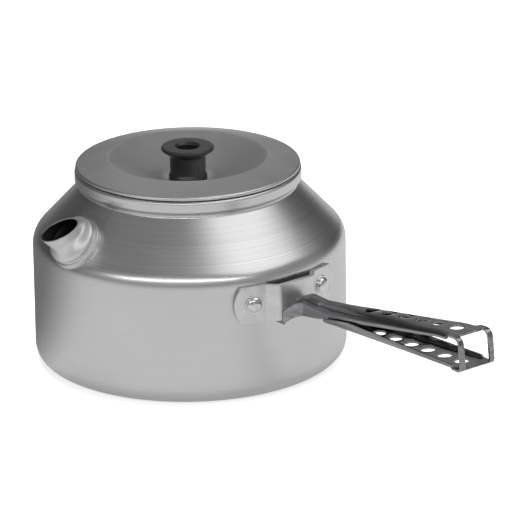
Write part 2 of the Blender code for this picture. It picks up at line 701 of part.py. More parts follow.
def make_lid(surface):
    skirt_radius = MOUTH_RADIUS - LID_SKIRT_CLEARANCE
    path = rounded_path([
        (SCREW_BORE_RADIUS, LID_FLOOR_HEIGHT, 0),
        (KNOB_FOOT_RADIUS + LID_SEAT_MARGIN, LID_FLOOR_HEIGHT, LID_DISH_FILLET),
        (LID_RIDGE_RADIUS, LID_RIDGE_HEIGHT, LID_RIDGE_FILLET),
        (LID_RADIUS, LID_EDGE_TOP, LID_EDGE_FILLET),
        (LID_RADIUS, LID_EDGE_BOTTOM, LID_FOLD_FILLET),
        (skirt_radius, LID_EDGE_BOTTOM, LID_FOLD_FILLET),
        (skirt_radius, LID_EDGE_BOTTOM - LID_SKIRT_DEPTH, 0),
    ])
    section = sheet_section(path, 0, LID_SHEET)
    return add_object("lid", turned_mesh(section, BODY_SEGMENTS), surface)


def make_knob(surface):
    rim_radius = KNOB_SHAFT_RADIUS + KNOB_RIM_OVERHANG
    rim_bottom = KNOB_HEIGHT - KNOB_RIM_SIDE
    section = rounded_path([
        (SCREW_BORE_RADIUS, 0, 0),
        (KNOB_FOOT_RADIUS, 0, 0),
        (KNOB_FOOT_RADIUS, KNOB_FOOT_SIDE, 0),
        (KNOB_SHAFT_RADIUS, KNOB_FOOT_HEIGHT, 0),
        (KNOB_SHAFT_RADIUS, rim_bottom - KNOB_RIM_FALL, 0),
        (rim_radius, rim_bottom, KNOB_TIP_FILLET),
        (rim_radius, KNOB_HEIGHT, KNOB_FILLET),
        (KNOB_RECESS_RADIUS + KNOB_RECESS_FLARE, KNOB_HEIGHT, KNOB_FILLET),
        (KNOB_RECESS_RADIUS, KNOB_HEIGHT - KNOB_RECESS_CHAMFER, KNOB_TIP_FILLET),
        (KNOB_RECESS_RADIUS, KNOB_FLOOR, 0),
        (SCREW_BORE_RADIUS, KNOB_FLOOR, 0),
    ])
    knob = add_object("lid_knob", turned_mesh(section, PIECE_SEGMENTS), surface)
    knob.location.z = KNOB_BASE_HEIGHT * MM
    return knob


def make_screw(surface, tail):
    """The screw from its cross-slotted head in the knob's recess down to its tail."""
    seat = KNOB_BASE_HEIGHT + KNOB_FLOOR + GAP
    head_top = seat + SCREW_HEAD_HEIGHT
    section = [
        (0, tail),
        (SCREW_RADIUS, tail),
        (SCREW_RADIUS, seat),
        (SCREW_HEAD_RADIUS, seat),
        (SCREW_HEAD_RADIUS, head_top - SCREW_HEAD_CHAMFER),
        (SCREW_HEAD_RADIUS - SCREW_HEAD_CHAMFER, head_top),
        (0, head_top),
    ]
    screw = add_object("knob_screw", turned_mesh(section, FASTENER_SEGMENTS), surface)
    half_sizes = (SCREW_SLOT_WIDTH / 2, SCREW_SLOT_LENGTH / 2)
    for x, y in (half_sizes, half_sizes[::-1]):
        slot = extruded_mesh([(-x, -y), (x, -y), (x, y), (-x, y)], 2, head_top - SCREW_SLOT_DEPTH,
                             head_top + SCREW_SLOT_DEPTH)
        boolean(screw, add_object("screw_slot_cutter", slot), "DIFFERENCE")
    return screw


def make_fastening(surface):
    """The washer and nut under the lid, and the screw that they hold."""
    hole = SCREW_RADIUS + GAP
    washer_top = LID_FLOOR_HEIGHT - LID_SHEET - GAP
    washer_bottom = washer_top - WASHER_THICKNESS
    nut_top = washer_bottom - GAP
    nut_bottom = nut_top - NUT_THICKNESS
    make_screw(surface, nut_bottom - SCREW_TAIL)
    ring = [(hole, washer_bottom), (WASHER_RADIUS, washer_bottom), (WASHER_RADIUS, washer_top),
            (hole, washer_top)]
    add_object("knob_washer", turned_mesh(ring, FASTENER_SEGMENTS), surface)
    corner = NUT_ACROSS_FLATS / math.sqrt(3)
    hexagon = [(corner * math.cos(TAU * i / 6), corner * math.sin(TAU * i / 6)) for i in range(6)]
    nut = add_object("knob_nut", extruded_mesh(hexagon, 2, nut_bottom, nut_top), surface)
    bore = cylinder("nut_bore_cutter", hole, nut_bottom - NUT_THICKNESS, nut_top + NUT_THICKNESS,
                    segments=FASTENER_SEGMENTS)
    boolean(nut, bore, "DIFFERENCE")


def main():
    for existing in list(bpy.data.objects):
        bpy.data.objects.remove(existing, do_unlink=True)
    spun = material("spun_aluminium", (0.70, 0.70, 0.70), 0.32, 1.0)
    pressed = material("pressed_aluminium", (0.72, 0.72, 0.72), 0.25, 1.0)
    lid_metal = material("lid_aluminium", (0.58, 0.58, 0.58), 0.38, 1.0)
    strip = material("bracket_aluminium", (0.66, 0.66, 0.66), 0.35, 1.0)
    rivet_metal = material("rivet_aluminium", (0.68, 0.68, 0.68), 0.28, 1.0)
    stainless = material("stamped_stainless", (0.42, 0.42, 0.43), 0.24, 1.0)
    plastic = material("black_plastic", (0.018, 0.018, 0.019), 0.34, 0.0)
    fastener = material("zinc_steel", (0.55, 0.55, 0.56), 0.3, 1.0)
    make_body(spun)
    make_spout(pressed)
    make_bracket(strip)
    make_rivet("rivet_left", -1, rivet_metal)
    make_rivet("rivet_right", 1, rivet_metal)
    make_handle(stainless)
    make_lid(lid_metal)
    make_knob(plastic)
    make_fastening(fastener)


main()
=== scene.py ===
"""Looks of the camping kettle: spun aluminium, a black spool knob, a riveted bracket and a stamped handle.

Metres, +Z up. The origin is the centre of the base, +X points at the handle and -Y at the spout.
Sizes written below are in millimetres, as MM turns them into metres.
"""

import math

import bmesh
import bpy
from mathutils import Matrix, Vector


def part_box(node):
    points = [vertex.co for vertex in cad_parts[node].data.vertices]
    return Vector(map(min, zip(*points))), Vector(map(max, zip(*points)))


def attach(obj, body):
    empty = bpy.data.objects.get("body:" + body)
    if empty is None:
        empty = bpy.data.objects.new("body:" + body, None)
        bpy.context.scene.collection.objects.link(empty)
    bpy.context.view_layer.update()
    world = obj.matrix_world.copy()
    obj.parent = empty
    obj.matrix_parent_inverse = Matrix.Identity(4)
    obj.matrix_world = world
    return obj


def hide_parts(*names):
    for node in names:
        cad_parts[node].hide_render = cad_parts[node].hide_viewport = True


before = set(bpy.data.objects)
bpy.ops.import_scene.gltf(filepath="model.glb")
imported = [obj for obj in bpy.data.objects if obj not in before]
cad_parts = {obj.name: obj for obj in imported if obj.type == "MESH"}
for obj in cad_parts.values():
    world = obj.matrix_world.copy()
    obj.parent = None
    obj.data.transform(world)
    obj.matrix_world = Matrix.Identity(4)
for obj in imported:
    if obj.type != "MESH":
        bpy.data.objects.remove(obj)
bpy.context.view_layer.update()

MM = 0.001
TAU = 2 * math.pi
MERGE_DISTANCE = 0.000002
SAME_PLACE = 0.01
POLE_RADIUS = 0.01
RING_SEGMENTS = 192
SMALL_SEGMENTS = 96
KNOB_SEGMENTS = 128
HOLE_SEGMENTS = 48
ARC_STEP = math.radians(7.5)
SMOOTH_ANGLE = 35

# Camera, in the studio's own axes: x to the right of the picture, y away from the camera
VIEW_AZIMUTH = math.radians(52)
CAMERA_DISTANCE = 2.2101
CAMERA_HEIGHT = 0.83265
CAMERA_YAW = math.radians(0.874)
CAMERA_PITCH = math.radians(19.659)
CAMERA_ROLL = math.radians(-0.857)
CAMERA_LENS = 346.81
SENSOR_WIDTH = 36.0

# Body
BODY_WALL = 1.2
BASE_FILLET = 8.0
SHOULDER_HEIGHT = 59.6
SHOULDER_FILLET = 10.6
CONE_TOP_RADIUS = 50.1
CONE_TOP_HEIGHT = 83.6
NECK_RADIUS = 52.4
NECK_SHELF_HEIGHT = 85.9
NECK_FILLET = 1.3
MOUTH_RADIUS = 47.8
BODY_EDGE_BEVEL = 0.25

# Heights on the body between which its turning marks come in above the wall, and fade towards the neck
MARKS_BEGIN = (54.0, 62.0)
MARKS_FADE = (66.0, 76.0)
MARKS_ON_WALL = 0.10
MARKS_AT_NECK = 0.45

# Lid; the ridge's two shoulders are given as (distance from its radius, drop from its top)
LID_SHEET = 0.8
LID_EDGE_FILLET = 1.1
LID_FOLD_FILLET = 0.85
LID_EDGE_HEIGHT = 1.75
LID_RIDGE_RADIUS = 36.6
LID_RIDGE_RISE = 3.4
LID_RIDGE_FILLET = 3.0
LID_RIDGE_INNER_SHOULDER = (1.1, 0.62)
LID_RIDGE_OUTER_SHOULDER = (0.5, 0.1)
LID_DISH_DEPTH = 10.4
LID_DISH_FILLET = 9.0
LID_SEAT_RADIUS = 11.5
LID_SKIRT_CLEARANCE = 0.4
LID_BORE_RADIUS = 2.25
LID_EDGE_BEVEL = 0.15

# Knob
KNOB_FOOT_RADIUS = 8.9
KNOB_FOOT_HEIGHT = 0.9
KNOB_SHAFT_RADIUS = 8.3
KNOB_SHAFT_START = 2.0
KNOB_RIM_RADIUS = 12.3
KNOB_RIM_DEPTH = 1.55
KNOB_RIM_TAPER = 0.1
KNOB_FLARE_DEPTH = 4.5
KNOB_RECESS_RADIUS = 4.9
KNOB_RECESS_MOUTH_RADIUS = 5.8
KNOB_RECESS_MOUTH_DEPTH = 1.2
KNOB_FLOOR = 5.0
KNOB_RIB_RADIUS = 0.5
KNOB_RIB_STRETCH = (0.6, 0.55, 3.6)
KNOB_RIB_HEIGHT = 3.6
KNOB_RIB_TURN = VIEW_AZIMUTH + math.radians(-54)

# Spout, along its own axis from the cone
SPOUT_SEAT_DISTANCE = 11.5
SPOUT_HOLE_DEPTH = 12.0
SPOUT_WALL = 0.9
SPOUT_BELL_RADIUS = 11.8
SPOUT_BELL_START = 4.4
SPOUT_BELL_LENGTH = 4.6
SPOUT_MOUTH_HALF_WIDTH = 7.45
SPOUT_MOUTH_HALF_LENGTH = 8.93
SPOUT_MOUTH_DISTANCE = 13.2
SPOUT_MOUTH_SLANT = math.radians(28.3)
SPOUT_NECK_RADIUS = 10.0
SPOUT_BORE = 9.0
SPOUT_BORE_SEAM = 1.5
SPOUT_CRIMP_RADIUS = 11.5
SPOUT_CRIMP_BOTTOM = -4.4
SPOUT_CRIMP_TOP = -2.4
SPOUT_RING_RADIUS = 12.6
SPOUT_RING_BOTTOM = -1.0
SPOUT_RING_TOP = 0.7
SPOUT_RING_FILLET = (SPOUT_RING_RADIUS, 1.55, 0.6)
SPOUT_COLLAR_CORNERS = ((11.35, 1.85, 0.5), (11.3, 2.75, 0.5), (SPOUT_BELL_RADIUS, 3.6, 0.7))
SPOUT_LIP_EASE = 0.16
SPOUT_LIP_SHOULDER = 0.11
SPOUT_LIP_CROWN = 0.16
SPOUT_STEPS = 18
# How far a face must turn in towards the spout's axis to be painted near black as shade inside the tube
INSIDE_FACING = -0.3

# Bracket and rivets
BRACKET_SHEET = 2.0
BRACKET_FACE_HALF_WIDTH = 9.1
BRACKET_EAR_START = 13.2
BRACKET_END_BULGE = 3.0
BRACKET_BEND_RADIUS = 1.6
BRACKET_EDGE_BEVEL = 0.22
BRACKET_EAR_STEPS = 8
BRACKET_ROWS = 12
RIVET_ANGLE = math.radians(15.33)
RIVET_HEAD_RADIUS = 3.7
RIVET_DOME_START = 0.3
RIVET_DOME_HEIGHT = 2.0
RIVET_DOME_STEPS = 14
RIVET_COLLAR_RADIUS = 4.7
RIVET_COLLAR_HEIGHT = 0.28
RIVET_COLLAR_SLOPE = 0.15
RIVET_GROOVE = (0.05, 0.2)
RIVET_CREASE = 0.1
RIVET_SHANK_RADIUS = 2.0
RIVET_TAIL_RADIUS = 3.4
RIVET_TAIL_HEIGHT = 1.4
RIVET_TAIL_EDGE_HEIGHT = 1.2
GAP = 0.3

# Handle, outward from the bracket's face and up from the bracket's bottom edge
HANDLE_SHEET = 1.0
HANDLE_LENGTH = 123.47
HANDLE_ROOT_HALF_WIDTH = 8.7
HANDLE_NECK_HALF_WIDTH = 4.7
HANDLE_END_HALF_WIDTH = 9.8
HANDLE_END_LEAN = 1.7
HANDLE_SIDE_BAR = 2.75
HANDLE_LOWER_BAR = 1.3
HANDLE_WINDOW_SETBACK = 5.1
HANDLE_LEAST_FLANGE = 0.9
HANDLE_LEAST_CROWN = 0.4
LEAST_RIB_EDGE = 0.15
HANDLE_HOLE_RADIUS = 3.4
HANDLE_HOLE_COUNT = 6
UPPER_HOLE_SETBACK = 14.1
UPPER_HOLE_PITCH = 11.3
LOWER_HOLE_SETBACK = 11.0
LOWER_HOLE_PITCH = 11.1
UPPER_LEG_END = 112.5
LOWER_LEG_START = 26.4
LOWER_LEG_END = 115.5
LOWER_END_RISE = 9.8
UPPER_END_RISE = 25.8
END_BEND_START = 4.2
UPPER_BEND_RADIUS = 4.2
LOWER_BEND_RADIUS = 2.4
END_FACE_DEPTH = 1.5
FLAT_SETBACK = 3.4
FOLD_STEPS = 7
WINDOW_CORNER = 0.9
WINDOW_PAST_END = 2.0
HOLE_CUTTER_DEPTH = 6.0
HANDLE_EDGE_BEVEL = 0.13
HOOK_THICKNESS = 1.5
HOOK_RISE = 12.0
HOOK_TIP_SETBACK = 5.4
HOOK_FACE_SETBACK = 2.6
HOOK_OVERLAP = 0.8
HOOK_SIDE_EASE = 0.1

# Where the handle's ribs stand, out from the bracket's face along each leg
UPPER_RIBS = (0, 1.2, 2.4, 3.6, 4.8, 6.0, 7.2, 8.4, 9.6, 11.0, 12.8, 15.0, 18.0, 20.5, 23.0, 26.0, 33.0, 40.0,
              50.0, 60.0, 70.0, 80.0, 90.0, 100.0, 103.0, 106.0, 109.0, 111.5, UPPER_LEG_END)
LOWER_RIBS = (LOWER_LEG_END, 114.0, 100.0, 85.0, 70.0, 55.0, 48.0, 44.0, 40.0, 34.0, 29.0, LOWER_LEG_START)

# How the channels flatten into the handle's end: (distance past the leg, flatness)
UPPER_FLATTENING = ((0.5, 0.3), (1.0, 0.62), (1.6, 0.86), (2.4, 0.97), (FLAT_SETBACK, 1.0))
LOWER_FLATTENING = ((2.6, 0.97), (1.7, 0.85), (1.1, 0.6), (0.5, 0.3))

# Studio: directions as (x, y, z) in its own axes, levels from 0 for black to 1 for white
LAMP_AIM = Vector((0, 0, 0.06))
FLOOR_SIZE = 30
FLOOR_DROP = 0.05
ROOM_LEVEL_LOW = 0.40
ROOM_LEVEL_HIGH = 0.23
ROOM_GLOW = 0.14
ROOM_GLOW_SIDE = (0.0, 0.79, 0.62)
ROOM_DARK_SIDES = (((0.60, 0.75, 0.28), 0.80, -0.75), ((-0.75, 0.62, 0.05), 0.55, -0.80))
FLOOR_DARK_SIDE = (-0.80, 0.60, 0.0)
FLOOR_DARK_DEPTH = 0.80
FLOOR_COLOUR = 0.80
FLOOR_COLOUR_DROP_IN_METAL = 0.76
FLOOR_COLOUR_RISE_IN_METAL = 0.28
FLOOR_GLOW_TO_CAMERA = 0.62
FLOOR_GLOW_IN_METAL = 0.40


def studio_place(x, y, z):
    """A place given as the picture shows it, turned into the kettle's own axes."""
    return Matrix.Rotation(VIEW_AZIMUTH, 3, "Z") @ Vector((x, y, z))


# Drawing and finishing pieces

def rounded(corners):
    """Points through (x, y, radius) corners, with an arc of that radius at each inner corner."""
    points = []
    last = len(corners) - 1
    for index, (x, y, radius) in enumerate(corners):
        corner = Vector((x, y))
        if index in (0, last) or radius == 0:
            points.append(corner)
            continue
        before = (Vector(corners[index - 1][:2]) - corner).normalized()
        after = (Vector(corners[index + 1][:2]) - corner).normalized()
        opening = before.angle(after)
        reach = radius / math.tan(opening / 2)
        centre = corner + (before + after).normalized() * (radius / math.sin(opening / 2))
        start = corner + before * reach - centre
        finish = corner + after * reach - centre
        turn = math.atan2(start.x * finish.y - start.y * finish.x, start.dot(finish))
        steps = max(3, round(abs(turn) / ARC_STEP))
        for step in range(steps + 1):
            spun = Matrix.Rotation(turn * step / steps, 2) @ start
            points.append(centre + spun)
    return points


def height_at(path, x):
    """Height at x of a path of (x, y) points that runs outward."""
    for near, far in zip(path, path[1:]):
        if x <= far[0]:
            break
    return near[1] + (far[1] - near[1]) * (x - near[0]) / (far[0] - near[0])


def start_drawing(name):
    """Turns the new primitive into a named piece, in edit mode with all of it selected."""
    piece = bpy.context.object
    piece.name = name
    piece.data.name = name
    bpy.ops.object.mode_set(mode="EDIT")
    bpy.ops.mesh.select_mode(type="VERT")
    bpy.ops.mesh.select_all(action="SELECT")
    return piece


def lead_chain(points):
    """Shrinks the selected plane to one vertex at the first point, and extrudes it on to each next one."""
    bpy.ops.mesh.merge(type="CENTER")
    bpy.ops.transform.translate(value=Vector(points[0]) * MM)
    for here, there in zip(points, points[1:]):
        step = (Vector(there) - Vector(here)) * MM
        bpy.ops.mesh.extrude_vertices_move(TRANSFORM_OT_translate={"value": step})


def draw_chain(name, points):
    """A new piece that is a chain of edges through points in millimetres."""
    bpy.ops.object.select_all(action="DESELECT")
    bpy.ops.mesh.primitive_plane_add(size=MM)
    piece = start_drawing(name)
    lead_chain(points)
    return piece


def select_only(piece):
    bpy.ops.object.select_all(action="DESELECT")
    piece.select_set(True)
    bpy.context.view_layer.objects.active = piece


def leave_editing(piece, smooth_angle=SMOOTH_ANGLE):
    """Ends the editing with the piece's place in its mesh and its round faces smooth."""
    bpy.ops.object.mode_set(mode="OBJECT")
    select_only(piece)
    bpy.ops.object.transform_apply(location=True, rotation=True, scale=True)
    bpy.ops.object.shade_smooth_by_angle(angle=math.radians(smooth_angle))


def close_up(piece, distance=MERGE_DISTANCE, smooth_angle=SMOOTH_ANGLE):
    """Merges the points that meet, turns the faces outwards and ends the editing."""
    bpy.ops.mesh.select_all(action="SELECT")
    bpy.ops.mesh.remove_doubles(threshold=distance)
    bpy.ops.mesh.normals_make_consistent(inside=False)
    leave_editing(piece, smooth_angle)


def draw_turned(name, outline, segments=RING_SEGMENTS, smooth_angle=SMOOTH_ANGLE):
    """A (radius, height) outline drawn as a chain and spun about the vertical axis."""
    piece = draw_chain(name, [(radius, 0, height) for radius, height in outline])
    bpy.ops.mesh.select_all(action="SELECT")
    bpy.ops.mesh.spin(steps=segments, angle=TAU, center=(0, 0, 0), axis=(0, 0, 1))
    close_up(piece, smooth_angle=smooth_angle)
    return piece


def draw_block(name, size, middle):
    """A block in edit mode, by its size and middle in millimetres."""
    bpy.ops.object.select_all(action="DESELECT")
    bpy.ops.mesh.primitive_cube_add(size=MM)
    piece = start_drawing(name)
    bpy.ops.transform.resize(value=size)
    bpy.ops.transform.translate(value=Vector(middle) * MM)
    return piece


def modify(piece, kind, **settings):
    """Adds one modifier and applies it at once."""
    modifier = piece.modifiers.new(kind.title(), kind)
    for setting, value in settings.items():
        setattr(modifier, setting, value)
    select_only(piece)
    bpy.ops.object.modifier_apply(modifier=modifier.name)


def thicken(piece, sheet, facing):
    """Gives a face the sheet's thickness, behind it where facing is above 0 and else in front of it."""
    modify(piece, "SOLIDIFY", thickness=sheet * MM, offset=-math.copysign(1.0, facing), use_even_offset=True)


def cut(piece, cutter):
    """Cuts one shape out of a piece and removes the shape."""
    modify(piece, "BOOLEAN", operation="DIFFERENCE", solver="EXACT", object=cutter)
    bpy.data.objects.remove(cutter)


def soften_edges(piece, width, angle=40):
    """Rounds the edges sharper than the angle, as the sheet's own edges are."""
    modify(piece, "BEVEL", width=width * MM, segments=3, limit_method="ANGLE",
           angle_limit=math.radians(angle), harden_normals=False)
    bpy.ops.object.shade_smooth_by_angle(angle=math.radians(angle))


def put_in_place(piece, matrix):
    """Moves a finished piece and leaves its object at the origin."""
    select_only(piece)
    piece.matrix_world = matrix
    bpy.ops.object.transform_apply(location=True, rotation=True, scale=True)


def select_vertices(piece, wanted):
    """Selects the vertices of the piece being edited whose place in millimetres passes the test."""
    mesh = bmesh.from_edit_mesh(piece.data)
    for vertex in mesh.verts:
        vertex.select_set(wanted(vertex.co / MM))
    mesh.select_flush_mode()
    bmesh.update_edit_mesh(piece.data)


def dress(piece, body, finish, node):
    """Gives a piece its finish and the CAD body it rides on, and hides the CAD node it stands in for."""
    piece.data.materials.clear()
    piece.data.materials.append(finish)
    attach(piece, body)
    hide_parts(node)


# Shader building blocks

class Graph:
    """Adds and links the nodes of one material or group."""

    def __init__(self, tree):
        self.tree = tree

    def add(self, kind, **settings):
        node = self.tree.nodes.new(kind)
        for setting, value in settings.items():
            setattr(node, setting, value)
        return node

    def link(self, source, target):
        self.tree.links.new(source, target)

    def feed(self, value, socket):
        """Sets a socket to a number, or links another socket to it."""
        if isinstance(value, (int, float)):
            socket.default_value = value
        else:
            self.link(value, socket)

    def object_place(self):
        """Each point's place on the object."""
        return self.add("ShaderNodeTexCoord").outputs["Object"]

    def split(self, vector):
        node = self.add("ShaderNodeSeparateXYZ")
        self.link(vector, node.inputs[0])
        return node.outputs

    def joined(self, x, y, z):
        node = self.add("ShaderNodeCombineXYZ")
        for value, socket in zip((x, y, z), node.inputs):
            self.feed(value, socket)
        return node.outputs[0]

    def math(self, operation, first, second=0.0):
        node = self.add("ShaderNodeMath", operation=operation)
        self.feed(first, node.inputs[0])
        self.feed(second, node.inputs[1])
        return node.outputs[0]

    def spread(self, value, low, high, to_low=0.0, to_high=1.0):
        """Maps a value from one range to another and holds it there."""
        node = self.add("ShaderNodeMapRange")
        self.link(value, node.inputs["Value"])
        node.inputs["From Min"].default_value = low
        node.inputs["From Max"].default_value = high
        node.inputs["To Min"].default_value = to_low
        node.inputs["To Max"].default_value = to_high
        return node.outputs["Result"]

    def grey(self, value):
        """A colour whose three channels all have the value."""
        node = self.add("ShaderNodeCombineColor")
        for channel in ("Red", "Green", "Blue"):
            self.link(value, node.inputs[channel])
        return node.outputs["Color"]

    def noise(self, vector, scale, detail, roughness=0.5):
        node = self.add("ShaderNodeTexNoise")
        self.feed(scale, node.inputs["Scale"])
        node.inputs["Detail"].default_value = detail
        node.inputs["Roughness"].default_value = roughness
        self.link(vector, node.inputs["Vector"])
        return node.outputs["Fac"]


def new_group(name, inputs, outputs):
    """A shader node group with its graph and the outputs and inputs of its two ends."""
    group = bpy.data.node_groups.new(name, "ShaderNodeTree")
    for socket, default in inputs:
        made = group.interface.new_socket(name=socket, in_out="INPUT", socket_type="NodeSocketFloat")
        made.default_value = default
    for socket in outputs:
        group.interface.new_socket(name=socket, in_out="OUTPUT", socket_type="NodeSocketFloat")
    graph = Graph(group)
    return group, graph, graph.add("NodeGroupInput").outputs, graph.add("NodeGroupOutput").inputs


def make_turning_marks():
    """Fine rings about the kettle's axis, left by the spinning tool, that fade and return round it."""
    inputs = (("Line Spacing", 1.0), ("Drift", 0.02))
    group, graph, entry, leave = new_group("turning_marks", inputs, ("Lines",))
    place = graph.split(graph.object_place())
    across = graph.math("MULTIPLY", place["X"], place["X"])
    along = graph.math("MULTIPLY", place["Y"], place["Y"])
    radius = graph.math("SQRT", graph.math("ADD", across, along))
    rings = graph.joined(radius, place["Z"], graph.math("MULTIPLY", place["X"], entry["Drift"]))
    scale = graph.math("DIVIDE", 1 / MM, entry["Line Spacing"])
    graph.link(graph.noise(rings, scale, 5.0, 0.65), leave["Lines"])
    return group


def make_satin_grain():
    """Even fine grain of bead-blasted or tumbled sheet, with a slow drift over it."""
    inputs = (("Grain Size", 0.4), ("Patch Size", 22.0))
    group, graph, entry, leave = new_group("satin_grain", inputs, ("Grain", "Patches"))
    place = graph.object_place()
    fine_scale = graph.math("DIVIDE", 1 / MM, entry["Grain Size"])
    patch_scale = graph.math("DIVIDE", 1 / MM, entry["Patch Size"])
    graph.link(graph.noise(place, fine_scale, 3.0, 0.7), leave["Grain"])
    graph.link(graph.noise(place, patch_scale, 4.0), leave["Patches"])
    return group


def make_drawn_lines():
    """Long fine lines along the handle, as rolling leaves in bright sheet."""
    inputs = (("Line Width", 0.5), ("Line Length", 24.0))
    group, graph, entry, leave = new_group("drawn_lines", inputs, ("Lines", "Streaks"))
    place = graph.split(graph.object_place())
    ratio = graph.math("DIVIDE", entry["Line Width"], entry["Line Length"])
    drawn = graph.joined(graph.math("MULTIPLY", place["X"], ratio), place["Y"], place["Z"])
    fine_scale = graph.math("DIVIDE", 1 / MM, entry["Line Width"])
    streak_scale = graph.math("MULTIPLY", fine_scale, 0.3)
    graph.link(graph.noise(drawn, fine_scale, 3.0, 0.65), leave["Lines"])
    graph.link(graph.noise(drawn, streak_scale, 2.0), leave["Streaks"])
    return group


def make_handling_marks():
    """Thin stray scratches in two directions and faint smears, as handling leaves on bright sheet."""
    inputs = (("Scratch Spacing", 2.5), ("Length Ratio", 14.0))
    group, graph, entry, leave = new_group("handling_marks", inputs, ("Scratches", "Smears"))
    place = graph.object_place()
    scale = graph.math("DIVIDE", 1 / MM, entry["Scratch Spacing"])
    ratios = graph.joined(graph.math("DIVIDE", 1.0, entry["Length Ratio"]), 1.0, 1.0)
    scratches = []
    for turn in (0.35, -0.8):
        mapping = graph.add("ShaderNodeMapping")
        mapping.inputs["Rotation"].default_value = (turn, turn * 0.5, turn)
        graph.link(place, mapping.inputs["Vector"])
        stretched = graph.add("ShaderNodeVectorMath", operation="MULTIPLY")
        graph.link(mapping.outputs[0], stretched.inputs[0])
        graph.link(ratios, stretched.inputs[1])
        streak = graph.noise(stretched.outputs[0], scale, 3.0, 0.75)
        scratches.append(graph.spread(streak, 0.66, 0.74))
    graph.link(graph.math("MAXIMUM", *scratches), leave["Scratches"])
    graph.link(graph.noise(place, 35.0, 5.0, 0.6), leave["Smears"])
    return group


class Finish:
    """One material: its Principled shader, its graph, and placed copies of the shared groups."""

    def __init__(self, name, metallic=1.0, anisotropic=0.0):
        self.material = bpy.data.materials.new(name)
        self.material.use_nodes = True
        self.graph = Graph(self.material.node_tree)
        self.shader = self.material.node_tree.nodes["Principled BSDF"]
        self.shader.inputs["Metallic"].default_value = metallic
        self.shader.inputs["Anisotropic"].default_value = anisotropic

    def place(self, group, **values):
        """Puts a shared group into the material, with its own values."""
        node = self.graph.add("ShaderNodeGroup", node_tree=group)
        for name, value in values.items():
            node.inputs[name.replace("_", " ").title()].default_value = value
        return node.outputs

    def colour(self, value, dark, light, low=0.3, high=0.7):
        """Base colour that runs between two greys with a varying value."""
        mix = self.graph.add("ShaderNodeMix", data_type="RGBA")
        self.graph.link(self.graph.spread(value, low, high), mix.inputs["Factor"])
        mix.inputs["A"].default_value = (*dark, 1.0)
        mix.inputs["B"].default_value = (*light, 1.0)
        self.graph.link(mix.outputs["Result"], self.shader.inputs["Base Color"])
        return mix.outputs["Result"]

    def roughness(self, value, smooth, rough, low=0.3, high=0.7):
        result = self.graph.spread(value, low, high, smooth, rough)
        self.graph.link(result, self.shader.inputs["Roughness"])

    def bump(self, height, distance):
        node = self.graph.add("ShaderNodeBump")
        node.inputs["Distance"].default_value = distance * MM
        self.graph.link(height, node.inputs["Height"])
        self.graph.link(node.outputs["Normal"], self.shader.inputs["Normal"])

    def ring_tangent(self):
        """Draws the sheen out round the kettle's axis, as on spun metal."""
        tangent = self.graph.add("ShaderNodeTangent", direction_type="RADIAL", axis="Z")
        self.graph.link(tangent.outputs["Tangent"], self.shader.inputs["Tangent"])


